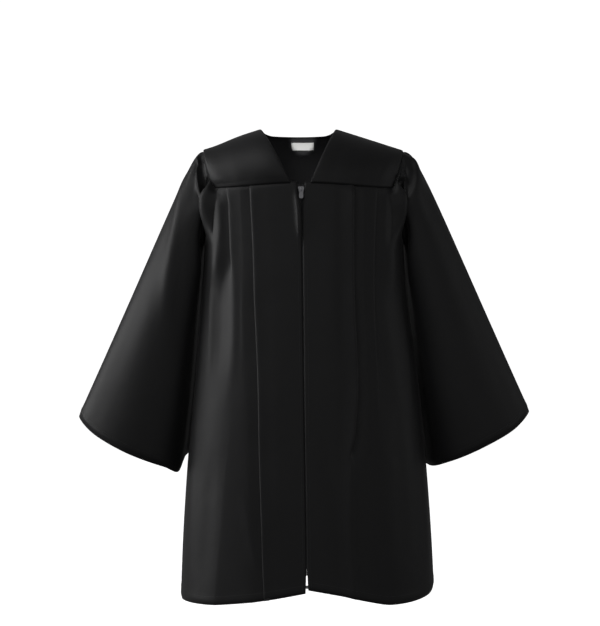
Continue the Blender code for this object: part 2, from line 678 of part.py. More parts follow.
def cloth_piece(name, points, kind="cloth", wall=WALL, ring=False):
    """A mesh over the grid's points, with its wall laid half to each side by Solidify."""
    across, rows = points.shape[:2]
    index = np.arange(across * rows).reshape(across, rows)
    if ring:
        index = np.concatenate([index, index[:1]])
    corners = (index[:-1, :-1], index[1:, :-1], index[1:, 1:], index[:-1, 1:])
    faces = np.stack(corners, axis=-1).reshape(-1, 4)
    mesh = bpy.data.meshes.new(name)
    mesh.from_pydata(points.reshape(-1, 3).tolist(), [], faces.tolist())
    mesh.update()
    obj = bpy.data.objects.new(name, mesh)
    bpy.context.scene.collection.objects.link(obj)
    wall_modifier = obj.modifiers.new("wall", "SOLIDIFY")
    wall_modifier.thickness = wall
    wall_modifier.offset = 0.0
    own_material(obj, kind)
    mesh.shade_smooth()
    return obj


def block(low, high):
    """Corner points and faces of a box."""
    (x0, y0, z0), (x1, y1, z1) = low, high
    points = [(x, y, z) for x in (x0, x1) for y in (y0, y1) for z in (z0, z1)]
    faces = [(0, 1, 3, 2), (4, 6, 7, 5), (0, 4, 5, 1), (2, 3, 7, 6), (0, 2, 6, 4), (1, 5, 7, 3)]
    return points, faces


def joined_blocks(name, boxes, bevel):
    """One body from boxes that overlap, by Boolean unions, with its edges bevelled."""
    bodies = []
    for k, (low, high) in enumerate(boxes):
        points, faces = block(low, high)
        mesh = bpy.data.meshes.new(f"{name}_{k}")
        mesh.from_pydata(points, [], faces)
        mesh.update()
        bodies.append(bpy.data.objects.new(name if k == 0 else f"{name}_helper_{k}", mesh))
        bpy.context.scene.collection.objects.link(bodies[-1])
    for helper in bodies[1:]:
        join = bodies[0].modifiers.new("join", "BOOLEAN")
        join.operation = "UNION"
        join.object = helper
        helper.hide_render = True
        helper.display_type = "WIRE"
    if bevel:
        soften = bodies[0].modifiers.new("soften", "BEVEL")
        soften.width = bevel
        soften.segments = 1
    own_material(bodies[0], "zip_metal")
    return bodies


def build_body():
    for side in ("left", "right"):
        cloth_piece(f"front_{side}", front_grid(side))
    cloth_piece("back", back_grid())


def build_yokes():
    down = np.linspace(0, 1, YOKE_ROWS)
    across = np.linspace(0, 1, YOKE_SPANS + 1)
    for side in ("left", "right"):
        points = yoke_front(across[:, None], down[None, :], side)
        points[:, 0, 1] -= SEAM
        points[:, -1, 2] += SEAM
        cloth_piece(f"yoke_front_{side}", points)
    beyond = np.linspace(NECK_SHARE, 1, YOKE_SPANS - 2)[1:]
    wide = np.concatenate([-beyond[::-1], np.linspace(-NECK_SHARE, NECK_SHARE, 2 * YOKE_SPANS + 1), beyond])
    points = yoke_back(wide[:, None], down[None, :])
    points[:, 0, 1] += SEAM
    points[:, -1, 2] += SEAM
    cloth_piece("yoke_back", points)


def build_sleeves():
    for side in ("left", "right"):
        cloth_piece(f"sleeve_{side}", sleeve_grid(side), ring=True)


def build_tapes():
    """The two zip tapes lie behind the front edges and part at the slider's post and at the slit."""
    above = np.linspace(TAPE_TOP_Z, TAPE_MEET_Z - 0.005, 5)
    z = np.concatenate([above, np.linspace(TAPE_MEET_Z - 0.06, TAPE_SLIT_Z + 0.025, 9)])
    z = np.concatenate([z, [TAPE_SLIT_Z + 0.002, TAPE_SLIT_Z, TAPE_END_Z]])
    apart = SLIDER_POST / 2 + TAPE_POST_GAP
    half = TAPE_GAP + (apart - TAPE_GAP) * ease(TAPE_MEET_Z, SLIDER_Z, z)
    half = half + (TAPE_SLIT_HALF - TAPE_GAP) * (z <= TAPE_SLIT_Z)
    inset = WALL / 2 + GAP + TAPE_WALL / 2
    for side in ("left", "right"):
        towards = -1.0 if side == "left" else 1.0
        start = towards * (zip_x(z) - middle(z)) + half
        share = np.linspace(0, 1, TAPE_SPANS + 1)[:, None]
        along = start + (TAPE_WIDTH - half) * share
        place = along / quarter_length(z, side, "front")
        points = section(place, np.broadcast_to(z, place.shape), side, "front", -inset)
        cloth_piece(f"zip_tape_{side}", points, "zip_tape", TAPE_WALL)


def zip_place(z):
    """Point of the section on the zip line, and the lean of the front there."""
    place = (zip_x(z) - middle(z)) / quarter_length(z, "right", "front")
    step = SLIDER_LENGTH / 2
    here = section(place, z, "right", "front")
    above, below = section(place, z + step, "right", "front"), section(place, z - step, "right", "front")
    lean = math.atan2(above[1] - below[1], above[2] - below[2])
    return here, lean


def build_slider():
    """Slider with its front and back plates, post and bail, and the pull tab on the bail."""
    here, lean = zip_place(SLIDER_Z)
    plate_low = -(WALL / 2)
    face = -(plate_low + SLIDER_PLATE)
    back = WALL / 2 + TAPE_WALL + 2 * GAP
    half, long = SLIDER_WIDTH / 2, SLIDER_LENGTH / 2
    bail = BAIL_WIDTH / 2
    outer = face - BAIL_CLEAR - BAIL_WALL
    boxes = (
        ((-half, face, -long), (half, -plate_low, long)),
        ((-half, back, -long), (half, back + SLIDER_BACK, long)),
        ((-SLIDER_POST / 2, face + JOIN, POST_LOW), (SLIDER_POST / 2, back + JOIN, POST_HIGH)),
        ((-bail, outer, BAIL_TOP - BAIL_WALL), (bail, face + JOIN, BAIL_TOP)),
        ((-bail, outer, -BAIL_FOOT), (bail, face + JOIN, -BAIL_FOOT + BAIL_WALL)),
        ((-bail, outer, -BAIL_FOOT + CUT), (bail, outer + BAIL_WALL, BAIL_TOP - CUT)),
    )
    bodies = joined_blocks("zip_slider", boxes, 0.0)
    for body in bodies:
        body.location = here
        body.rotation_euler.x = -lean
    pull = joined_blocks("zip_pull", pull_boxes(), 0.0)
    pivot_local = np.array([0.0, face - PIVOT_OUT, PIVOT_UP])
    turn = -lean
    pivot = here + np.array(
        [
            0.0,
            pivot_local[1] * math.cos(turn) - pivot_local[2] * math.sin(turn),
            pivot_local[1] * math.sin(turn) + pivot_local[2] * math.cos(turn),
        ]
    )
    for body in pull:
        body.location = pivot
        body.rotation_euler.x = turn
    return pivot


def pull_boxes():
    """Pull tab about its pivot: a cross bar, two rails and the tab."""
    inner = PULL_HALF - RAIL_WIDTH
    half = TAB_WALL / 2
    foot = -RAIL_LENGTH
    return (
        ((-PULL_HALF + CUT, -BAR_HALF, -BAR_HALF), (PULL_HALF - CUT, BAR_HALF, BAR_HALF)),
        ((-PULL_HALF, -half, foot - JOIN), (-inner, half, BAR_HALF + CUT)),
        ((inner, -half, foot - JOIN), (PULL_HALF, half, BAR_HALF + CUT)),
        ((-TAB_HALF_WIDTH, -half + CUT, foot - TAB_LENGTH), (TAB_HALF_WIDTH, half - CUT, foot)),
    )


def build_zip_box():
    """End box that holds the feet of the two tapes, behind the front edges."""
    top = TAPE_END_Z - GAP
    here, lean = zip_place(top)
    near = WALL / 2 + GAP
    low = (-BOX_WIDTH / 2, near, -BOX_HEIGHT)
    high = (BOX_WIDTH / 2, near + BOX_DEPTH, 0.0)
    body = joined_blocks("zip_box", ((low, high),), BOX_BEVEL)[0]
    body.location = here
    body.rotation_euler.x = -lean


def build_label():
    """Blank label on the inner face of the back yoke, from the yoke's points moved in."""
    step = 1e-4
    wide = np.linspace(-0.5, 0.5, LABEL_SPANS[0] + 1)[:, None]
    down = np.linspace(LABEL_TOP, LABEL_BOTTOM, LABEL_SPANS[1] + 1)[None, :]
    scan = np.linspace(-NECK_SHARE, NECK_SHARE, 161)
    at_x = yoke_back(scan, np.full_like(scan, (LABEL_TOP + LABEL_BOTTOM) / 2))[:, 0]
    across = np.interp(LABEL_X + wide * LABEL_WIDTH, at_x, scan) + 0 * down
    down = down + 0 * across
    here = yoke_back(across, down)
    slope_across = yoke_back(across + step, down) - yoke_back(across - step, down)
    slope_down = yoke_back(across, down + step) - yoke_back(across, down - step)
    inward = np.cross(slope_across, slope_down)
    inward = inward / np.linalg.norm(inward, axis=-1, keepdims=True)
    inward = inward * -np.sign(inward[..., 1:2])
    inset = WALL / 2 + 2 * GAP + LABEL_WALL / 2
    cloth_piece("neck_label", here + inward * inset, "label", LABEL_WALL)


def main():
    for obj in list(bpy.data.objects):
        bpy.data.objects.remove(obj)
    build_body()
    build_yokes()
    build_sleeves()
    build_tapes()
    pivot = build_slider()
    build_zip_box()
    build_label()
    print("pull tab pivot", [round(float(value), 6) for value in pivot])


main()
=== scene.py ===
# %% [markdown]
# # A graduation gown, dressed
# The solids say where every panel hangs. This script lays fine cloth over each of them, sews it, fits
# the zip and lights the whole as a studio would. A gown is a set of flat cuts of one satin-like cloth,
# so nearly every piece here is a surface worked out from two numbers, across and down, held on a grid.

# %% The fixed frame
import math

import bpy
import numpy as np
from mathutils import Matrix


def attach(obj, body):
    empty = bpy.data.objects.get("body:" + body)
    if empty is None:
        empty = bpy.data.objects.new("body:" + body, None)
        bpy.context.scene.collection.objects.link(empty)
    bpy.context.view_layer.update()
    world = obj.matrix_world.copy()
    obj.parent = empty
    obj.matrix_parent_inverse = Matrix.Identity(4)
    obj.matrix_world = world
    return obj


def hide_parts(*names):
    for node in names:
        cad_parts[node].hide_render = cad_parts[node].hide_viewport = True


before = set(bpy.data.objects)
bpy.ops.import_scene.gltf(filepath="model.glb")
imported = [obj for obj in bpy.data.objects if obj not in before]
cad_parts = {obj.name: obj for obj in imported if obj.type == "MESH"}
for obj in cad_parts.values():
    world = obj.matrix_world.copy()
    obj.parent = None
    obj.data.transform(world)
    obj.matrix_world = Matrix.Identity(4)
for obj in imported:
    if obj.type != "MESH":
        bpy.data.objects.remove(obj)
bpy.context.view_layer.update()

# %% [markdown]
# The gown is seen square from the front, from about two metres away, with the lens level with its
# middle. The focal length follows from the width of view wanted at that distance.

# %% Camera
VIEW_DISTANCE = 2.3
VIEW_TALL = 0.901  # metres seen from top to bottom in the plane of the shoulders
SENSOR = 36.0
view = bpy.data.objects.new("view", bpy.data.cameras.new("view"))
view.location = (-0.005, -VIEW_DISTANCE, -0.265)
view.rotation_euler = (math.radians(90), 0, 0)
view.data.sensor_width = SENSOR
view.data.lens = SENSOR * VIEW_DISTANCE / VIEW_TALL
bpy.context.scene.collection.objects.link(view)
bpy.context.scene.camera = view
print("lens", round(view.data.lens, 1), "mm")

# %% [markdown]
# ## Curves through short tables
# A cutter's pattern gives a few measured places and a smooth line through them. The same is done here:
# a table holds the measured places, and a cubic runs through them. A steady curve never swings past
# its places, which keeps a hem from dipping where nobody drew a dip.

# %% Smooth curves
def smooth(places, values, at, steady=True):
    """Cubic through values at places; each slope is the one between its neighbours.

    Steady: where the steps on both sides differ, the slope is at most twice the gentler one, and 0 at a turn.
    """
    places, values = np.asarray(places, float), np.asarray(values, float)
    shape = (-1,) + (1,) * (values.ndim - 1)
    slopes = np.gradient(values, places, axis=0)
    if steady:
        steps = np.diff(values, axis=0) / np.diff(places).reshape(shape)
        before, after = np.concatenate([steps[:1], steps]), np.concatenate([steps, steps[-1:]])
        limit = 2 * np.minimum(np.abs(before), np.abs(after))
        slopes = np.where(before * after > 0, np.sign(slopes) * np.minimum(np.abs(slopes), limit), 0.0)
    at = np.clip(at, places[0], places[-1])
    i = np.clip(np.searchsorted(places, at, side="right") - 1, 0, len(places) - 2)
    gap = (places[i + 1] - places[i]).reshape(shape if values.ndim > 1 else np.shape(at))
    t = (at - places[i]).reshape(gap.shape) / gap
    first = values[i] * (1 + 2 * t) * (1 - t) ** 2 + slopes[i] * gap * t * (1 - t) ** 2
    return first + values[i + 1] * t * t * (3 - 2 * t) - slopes[i + 1] * gap * t * t * (1 - t)


def read(table, name, at):
    """One column of a table, read at heights (z) or places, whichever its first column holds."""
    rows = np.array(table["rows"], float)
    first = rows[:, 0] * (-1 if table["names"][0] == "z" else 1)
    at = np.asarray(at, float) * (-1 if table["names"][0] == "z" else 1)
    return smooth(first, rows[:, table["names"].index(name)], at)


def read_round(table, name, degrees):
    """A column of a table of angles, read as a closed ring."""
    rows = np.array(table["rows"], float)
    angles, values = rows[:, 0], rows[:, table["names"].index(name)]
    angles = np.concatenate([angles[-2:] - 360, angles, angles[:2] + 360])
    values = np.concatenate([values[-2:], values, values[:2]])
    return smooth(angles, values, np.mod(degrees, 360), steady=False)


def ease(low, high, value):
    """0 below low, 1 above high, a smooth step t*t*(3-2t) between; low may be the larger one."""
    t = np.clip((np.asarray(value, float) - low) / (high - low), 0, 1)
    return t * t * (3 - 2 * t)


# %% [markdown]
# ## The body's form
# The gown hangs from the shoulders as a wide hollow column, wider at the hem. Every level cut through
# it is a superellipse: rounder than a box and squarer than an ellipse. The tables give its outline from
# the front and its depth from the side; the hem tables give how far each part of the cloth falls.

# %% Sizes of the body
BODY = {"names": ("z", "left", "right", "front", "back"), "rows": (
    (-0.080, -0.1410, 0.1410, 0.083, 0.074),
    (-0.120, -0.1415, 0.1420, 0.087, 0.077),
    (-0.169, -0.142, 0.1435, 0.091, 0.081),
    (-0.240, -0.146, 0.148, 0.096, 0.086),
    (-0.350, -0.154, 0.163, 0.103, 0.093),
    (-0.460, -0.1640, 0.1740, 0.109, 0.099),
    (-0.580, -0.1720, 0.1830, 0.115, 0.106),
    (-0.680, -0.1760, 0.1880, 0.119, 0.111),
)}
FRONT_HEM = {"names": ("place", "left", "right"), "rows": (
    (0.00, -0.6480, -0.6440),
    (0.22, -0.6580, -0.6540),
    (0.36, -0.6635, -0.6620),
    (0.50, -0.6680, -0.6675),
    (0.70, -0.6705, -0.6645),
    (0.88, -0.6710, -0.6565),
    (1.00, -0.6670, -0.6460),
)}
BACK_HEM = {"names": ("place", "left", "right"), "rows": (
    (0.00, -0.6520, -0.6520),
    (0.40, -0.6560, -0.6540),
    (0.75, -0.6630, -0.6530),
    (1.00, -0.6670, -0.6460),
)}
SQUARENESS = 2.3
NECK_X, NECK_HALF, NECK_BACK = -0.0075, 0.054, 0.048
NECK_PEAK_Z, NECK_BACK_DROP = -0.001, 0.0055
NECK_SHARE = 0.42
SHOULDER_HALF, SHOULDER_Z = 0.143, -0.0315
UNDERARM_Z, ARMHOLE_DEPTH = -0.169, 0.044
YOKE_CORNER_Z, YOKE_CENTRE_Z = -0.089, -0.0845
VEE = {"left": 0.0175, "right": 0.0085}
SIDES = {"left": -1.0, "right": 1.0}

# %% The section, walked from the middle to the side seam
quarter_turn = np.linspace(0, math.pi / 2, 400)
typical_x = 0.150 * np.sin(quarter_turn) ** (2 / SQUARENESS)
typical_y = 0.095 * np.cos(quarter_turn) ** (2 / SQUARENESS)
walked = np.concatenate([[0], np.cumsum(np.hypot(np.diff(typical_x), np.diff(typical_y)))])
PLACES = walked / walked[-1]
QUARTER_SHARE = walked[-1] / (0.150 + 0.095)


def middle(z):
    return (read(BODY, "left", z) + read(BODY, "right", z)) / 2


def quarter_length(z, side, face):
    """Distance round the section from its middle to the side seam."""
    return QUARTER_SHARE * (abs(read(BODY, side, z) - middle(z)) + read(BODY, face, z))


def section(place, z, side, face, out=0.0):
    """Point of the body: place 0 is the middle, 1 the side seam; out moves it along the outward normal.

    |x / wide| ** n + |y / deep| ** n = 1, with n the squareness.
    """
    forward = -1.0 if face == "front" else 1.0
    place, z = np.broadcast_arrays(np.asarray(place, float), np.asarray(z, float))
    angle = np.interp(np.abs(place), PLACES, quarter_turn)
    wide, deep = abs(read(BODY, side, z) - middle(z)), read(BODY, face, z)
    x = wide * np.sin(angle) ** (2 / SQUARENESS)
    y = deep * np.cos(angle) ** (2 / SQUARENESS)
    lean_x = (x / wide) ** (SQUARENESS - 1) / wide
    lean_y = (y / deep) ** (SQUARENESS - 1) / deep
    size = np.hypot(lean_x, lean_y)
    x = (x + out * lean_x / size) * np.where(place < 0, -1, 1)
    return np.stack([middle(z) + SIDES[side] * x, forward * (y + out * lean_y / size), z], axis=-1)


def place_of_depth(y, z, side, face):
    """Place on the section whose distance from the side plane is y."""
    share = np.clip(np.abs(y) / read(BODY, face, z), 0, 1)
    return np.interp(np.arccos(share ** (SQUARENESS / 2)), quarter_turn, PLACES)


print("section: quarter", round(float(quarter_length(-0.35, "left", "front")), 3), "m round at mid height")

# %% [markdown]
# The armhole is cut through that column. Seen from the side its lower half is a quarter ellipse before
# and behind; its upper half is the outer edge of the yokes. The yokes are laid over the shoulders: each
# line down a yoke starts level at the shoulder seam and ends plumb at the yoke seam.

# %% Armhole, shoulders and yokes
def armhole_low(q, side, face):
    """Lower armhole, from the yoke's corner (q=0) to the underarm (q=1): y = d cos, z falls with sin."""
    q = np.asarray(q, float)
    y = ARMHOLE_DEPTH * np.cos(q * math.pi / 2)
    z = YOKE_CORNER_Z + (UNDERARM_Z - YOKE_CORNER_Z) * np.sin(q * math.pi / 2)
    return section(place_of_depth(y, z, side, face), z, side, face)


def armhole_at(z, side, face):
    share = np.clip((YOKE_CORNER_Z - np.asarray(z, float)) / (YOKE_CORNER_Z - UNDERARM_Z), 0, 1)
    return armhole_low(np.arcsin(share) * 2 / math.pi, side, face)


def shoulder_line(share, side):
    """Shoulder seam from the neck (0) to the sleeve (1), a straight line."""
    start = NECK_X + SIDES[side] * NECK_HALF
    share = np.asarray(share, float)
    x = start + (SIDES[side] * SHOULDER_HALF - start) * share
    return np.stack([x, 0 * share, NECK_PEAK_Z + (SHOULDER_Z - NECK_PEAK_Z) * share], axis=-1)


def yoke_seam_z(place):
    return YOKE_CENTRE_Z + (YOKE_CORNER_Z - YOKE_CENTRE_Z) * ease(0.05, 0.6, np.abs(place))


def hang(top, low, down, bow):
    """A quarter ellipse from top to low, with x bowed by bow * fall * (1 - fall)."""
    fall = 1 - np.cos(down * math.pi / 2)
    x = top[..., 0] + (low[..., 0] - top[..., 0]) * (fall + bow * fall * (1 - fall))
    y = top[..., 1] + (low[..., 1] - top[..., 1]) * np.sin(down * math.pi / 2)
    return np.stack([x, y, top[..., 2] + (low[..., 2] - top[..., 2]) * fall], axis=-1)


def yoke_front(across, down, side):
    inner = VEE[side] / quarter_length(YOKE_CENTRE_Z, side, "front")
    outer = place_of_depth(ARMHOLE_DEPTH, YOKE_CORNER_Z, side, "front")
    across, down = np.broadcast_arrays(np.asarray(across, float), np.asarray(down, float))
    place = inner + (outer - inner) * across
    low = section(place, yoke_seam_z(place), side, "front")
    return hang(shoulder_line(across, side), low, down, 0.12 - 0.32 * across)


def yoke_back(across, down):
    """Back yoke, across from -1 to 1: shoulder seam, half an ellipse round the neck, shoulder seam."""
    across, down = np.broadcast_arrays(np.asarray(across, float), np.asarray(down, float))
    share = np.abs(across)
    sign = np.where(across < 0, -1.0, 1.0)
    low = np.empty(across.shape + (3,))
    for side, mask in (("left", across < 0), ("right", across >= 0)):
        place = share[mask] * place_of_depth(ARMHOLE_DEPTH, YOKE_CORNER_Z, side, "back")
        low[mask] = section(place, yoke_seam_z(place), side, "back")
    turn = np.clip(share / NECK_SHARE, 0, 1) * math.pi / 2
    drop = NECK_BACK_DROP * ease(90, 42, np.degrees(turn))
    neck = [NECK_X + sign * NECK_HALF * np.sin(turn), NECK_BACK * np.cos(turn) ** 0.8, NECK_PEAK_Z - drop]
    out = np.clip((share - NECK_SHARE) / (1 - NECK_SHARE), 0, 1)
    line = np.where((across < 0)[..., None], shoulder_line(out, "left"), shoulder_line(out, "right"))
    top = np.where((share < NECK_SHARE)[..., None], np.stack(neck, axis=-1), line)
    return hang(top, low, down, -0.20 * ease(0.5, 1.0, share))


def armhole_ring(degrees, side):
    """The whole armhole: 0 at the shoulder, 90 at the front yoke corner, 180 under the arm."""
    degrees = np.mod(np.asarray(degrees, float), 360)
    points = np.empty(degrees.shape + (3,))
    end = SIDES[side]
    for mask, formula in (
        (degrees <= 90, lambda d: yoke_front(np.ones_like(d), d / 90, side)),
        ((degrees > 90) & (degrees <= 180), lambda d: armhole_low((d - 90) / 90, side, "front")),
        ((degrees > 180) & (degrees <= 270), lambda d: armhole_low((270 - d) / 90, side, "back")),
        (degrees > 270, lambda d: yoke_back(np.full_like(d, end), (360 - d) / 90)),
    ):
        points[mask] = formula(degrees[mask])
    return points


# %% [markdown]
# ## Cloth from a grid
# Every cut of cloth becomes a grid of points, and the grid a mesh. Solidify gives it a thin wall, and
# the mesh keeps the cloth's own measure as its map: across and down in metres, so a weave drawn on that
# map bends with the cloth. The width, length and area of the cut are measured before any fold is added.

# %% Normals, folds and meshes
CLOTH_WALL = 0.0007


def normals_of(points, outwards, ring=False):
    """Unit normals of a grid, turned so that they agree with the direction outwards."""
    down = np.gradient(points, axis=1)
    across = (np.roll(points, -1, 0) - np.roll(points, 1, 0)) if ring else np.gradient(points, axis=0)
    normal = np.cross(across, down)
    normal = normal / np.maximum(np.linalg.norm(normal, axis=-1, keepdims=True), 1e-12)
    return normal * np.sign((normal * outwards).sum(axis=-1).mean() or 1.0)


def finer(points, longest, ring=False):
    """More columns along smooth curves through the given ones, none further apart than longest."""
    if ring:
        points = np.concatenate([points, points[:1]])
    steps = np.linalg.norm(np.diff(points[..., :3], axis=0), axis=-1).mean(axis=1)
    places = np.concatenate([[0], np.cumsum(steps)])
    counts = np.clip(np.ceil(steps / longest).astype(int), 2, 12)
    parts = [np.linspace(a, b, n, endpoint=False) for a, b, n in zip(places[:-1], places[1:], counts)]
    at = np.concatenate(parts + [[] if ring else places[-1:]])
    return smooth(places, points, at, steady=not ring)


def lengths(points, axis):
    """Distance walked along each line of a grid, from its start."""
    steps = np.linalg.norm(np.diff(points, axis=axis), axis=-1)
    return np.concatenate([np.zeros_like(np.take(steps, [0], axis)), np.cumsum(steps, axis=axis)], axis=axis)


def cut_size(points, ring=False):
    """Width, length and area of the flat cut that a grid was made from."""
    whole = np.concatenate([points, points[:1]]) if ring else points
    width = float(lengths(whole, 0)[-1].max())
    length = float(lengths(whole, 1)[:, -1].max())
    a, b = whole[1:, 1:] - whole[:-1, :-1], whole[:-1, 1:] - whole[1:, :-1]
    area = float(np.linalg.norm(np.cross(a, b), axis=-1).sum() / 2)
    return width, length, area


def grid_mesh(name, points, ring=False, wall=CLOTH_WALL, outwards=(0, -1, 0), offset=0.0):
    """A mesh over the grid, faces turned outwards, with the cloth's own measure as its map."""
    count, rows = points.shape[:2]
    index = np.arange(count * rows).reshape(count, rows)
    if ring:
        index = np.concatenate([index, index[:1]])
    corners = [index[:-1, :-1], index[1:, :-1], index[1:, 1:], index[:-1, 1:]]
    normal = np.cross(points[1:, :-1] - points[:-1, :-1], points[:-1, 1:] - points[:-1, :-1])
    facing = np.broadcast_to(np.asarray(outwards, float), points.shape)[:-1, :-1]
    if (normal * facing).sum() < 0:
        corners = corners[::-1]
    faces = np.stack(corners, axis=-1).reshape(-1, 4)
    mesh = bpy.data.meshes.new(name)
    mesh.from_pydata(points.reshape(-1, 3), [], faces)
    measure = np.stack([lengths(points, 0), lengths(points, 1)], axis=-1).reshape(-1, 2)
    uv = mesh.uv_layers.new(name="cloth")
    loops = np.empty(len(mesh.loops), np.int32)
    mesh.loops.foreach_get("vertex_index", loops)
    uv.data.foreach_set("uv", measure[loops].astype(np.float32).ravel())
    mesh.shade_smooth()
    piece = bpy.data.objects.new(name, mesh)
    bpy.context.scene.collection.objects.link(piece)
    if wall:
        thick = piece.modifiers.new("wall", "SOLIDIFY")
        thick.thickness = wall
        thick.offset = offset
        thick.material_offset = 1  # the inner side wears the second material, where there is one
    return piece


def dress(piece, node, slot, *materials):
    """The piece takes the node's place, rides on the gown and wears a material, or one for each side."""
    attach(piece, "gown")
    if node:
        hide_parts(node)
    for cloth in materials:
        piece.data.materials.append(cloth)
    return piece


# %% [markdown]
# ## The fronts
# Each front hangs from the yoke in two knife pleats: the cloth is folded back under a sharp edge and
# pressed. Further down the pressing gives way and the pleat opens into a soft wave. The table of a fold
# gives its section walking outwards, and "loose" turns the pressed section into the opened one.

# %% Zip line and pleats
ZIP = {"names": ("z", "x", "half_gap"), "rows": (
    (-0.080, -0.0036, 0.0050),
    (-0.094, -0.0033, 0.0047),
    (-0.103, -0.0031, 0.0036),
    (-0.125, -0.0026, 0.0012),
    (-0.160, -0.0020, 0.0007),
    (-0.400, 0.0010, 0.0005),
    (-0.600, 0.0040, 0.0005),
    (-0.618, 0.0042, 0.0008),
    (-0.650, 0.0045, 0.0020),
)}
PLEATS = {
    "left": (
        {"names": ("z", "edge", "loose"), "rows": (
            (-0.086, 0.0745, 0.0),
            (-0.200, 0.0720, 0.02),
            (-0.340, 0.0700, 0.10),
            (-0.450, 0.0680, 0.12),
            (-0.560, 0.0650, 0.12),
            (-0.665, 0.0620, 0.20),
        )},
        {"names": ("z", "edge", "loose"), "rows": (
            (-0.086, 0.1120, 0.0),
            (-0.115, 0.1070, 0.0),
            (-0.172, 0.1075, 0.12),
            (-0.235, 0.1085, 0.95),
            (-0.310, 0.1110, 1.0),
            (-0.430, 0.1250, 1.0),
            (-0.665, 0.1500, 1.0),
        )},
    ),
    "right": (
        {"names": ("z", "edge", "loose"), "rows": (
            (-0.086, 0.0690, 0.0),
            (-0.200, 0.0700, 0.0),
            (-0.350, 0.0715, 0.02),
            (-0.425, 0.0665, 0.06),
            (-0.470, 0.0625, 0.85),
            (-0.540, 0.0600, 0.95),
            (-0.665, 0.0655, 0.95),
        )},
        {"names": ("z", "edge", "loose"), "rows": (
            (-0.086, 0.1040, 0.0),
            (-0.200, 0.1010, 0.0),
            (-0.420, 0.1060, 0.80),
            (-0.665, 0.1180, 1.0),
        )},
    ),
}
PLEAT_UNDER, PLEAT_TAIL = 0.011, 0.015
PLEAT_STEP = {"left": (0.0013, 0.0010), "right": (0.0030, 0.0010)}  # inner pleat, outer pleat
# height of the opened fold, where it is gone and where it is still full
OPEN_RISE = {"left": ((0.0030, -0.90, -0.80), (0.0042, -0.40, -0.28)),
             "right": ((0.0034, -0.90, -0.80), (0.0010, -0.50, -0.30))}
FOLD = (  # pressed: tails, unders, metres more, steps out; opened to a ridge; opened to a crease
    (-1.00, 0.0, 0.0, 0.00, (-1.00, 0.00), (-1.00, 0.00)),
    (-0.50, 0.0, 0.0, 0.50, (-0.80, 0.12), (-0.80, 0.04)),
    (0.00, 0.0, -0.0022, 1.00, (-0.60, 0.38), (-0.60, 0.10)),
    (0.00, 0.0, 0.0000, 0.50, (-0.42, 0.68), (-0.42, 0.10)),
    (0.00, 0.0, -0.0020, 0.00, (-0.25, 0.90), (-0.22, 0.00)),
    (0.00, -1.0, 0.0020, 0.00, (-0.08, 1.00), (0.05, -0.26)),
    (0.00, -1.0, 0.0000, -0.50, (0.10, 0.90), (0.40, -0.60)),
    (0.00, -1.0, 0.0022, -1.00, (0.30, 0.60), (0.80, -0.88)),
    (0.00, 0.0, -0.0010, -1.00, (0.50, 0.30), (1.25, -1.00)),
    (0.50, 0.0, 0.0, -0.50, (0.75, 0.08), (1.80, -0.70)),
    (1.00, 0.0, 0.0, 0.00, (1.00, 0.00), (2.50, 0.00)),
)
EDGE_ROLL = (  # towards the sleeve, forwards of the armhole seam
    (-0.0060, 0.0085),
    (0.0028, 0.0080),
    (0.0100, 0.0070),
    (0.0136, 0.0054),
    (0.0132, 0.0040),
    (0.0095, 0.0030),
    (0.0045, 0.0018),
    (0.0000, 0.0000),
)
ROLL_FULL_Z, ROLL_GONE_Z, ROLL_LIFT = -0.100, -0.178, 0.012
SEAM_TUCK, SEAM_INSET = 0.0025, 0.0012  # a panel runs up under the yoke, and lies this far in

# %% [markdown]
# ## Creases
# Cloth that has been folded and worn carries long soft ridges and hollows. Each is one row of a table:
# where it starts and ends, its width, its height and how sharp its steep side is. Its section is a bell,
# exp(-(d / width) ** 2), with the width on one side shortened; it fades in and out along its length.

# %% Creases by table
CREASE = ("start_at", "start_z", "end_at", "end_z", "width", "height", "steep")


def crease_field(table, at, z):
    """Sum of the creases at a grid's places; at is the distance across, z the height."""
    total = np.zeros(np.broadcast(at, z).shape)
    for start_at, start_z, end_at, end_z, width, height, steep in table:
        share = (z - start_z) / (end_z - start_z)
        centre = start_at + (end_at - start_at) * np.clip(share, -0.2, 1.2)
        off = at - centre
        narrow = np.where(off * np.sign(steep or 1) > 0, width / (1 + 3 * abs(steep)), width)
        fade = ease(-0.15, 0.25, share) * ease(1.15, 0.70, share)
        total = total + height * fade * np.exp(-((off / narrow) ** 2))
    return total


def hem_and_edges(points, outward, first=0.0, last=0.0, top=0.0, hem=0.0, hem_depth=0.012):
    """Turns the edges of a cut: first and last columns, top and bottom rows curl in, the hem is double.

    Moves points along outward by -size * exp(-(distance / 1.2 mm) ** 2), plus the hem's second layer,
    which ends in a shallow line where it is sewn.
    """
    across, down = lengths(points, 0), lengths(points, 1)
    from_last, from_hem = across[-1:] - across, down[:, -1:] - down
    move = -first * np.exp(-((across / 0.0012) ** 2)) - last * np.exp(-((from_last / 0.0012) ** 2))
    move = move - top * np.exp(-((down / 0.0012) ** 2))
    if hem:
        move = move - hem * np.exp(-((from_hem / 0.0014) ** 2))
        move = move + 0.00035 * ease(hem_depth + 0.001, hem_depth - 0.001, from_hem)
        move = move - 0.00040 * np.exp(-(((from_hem - hem_depth) / 0.0009) ** 2))
    return points + outward * move[..., None]


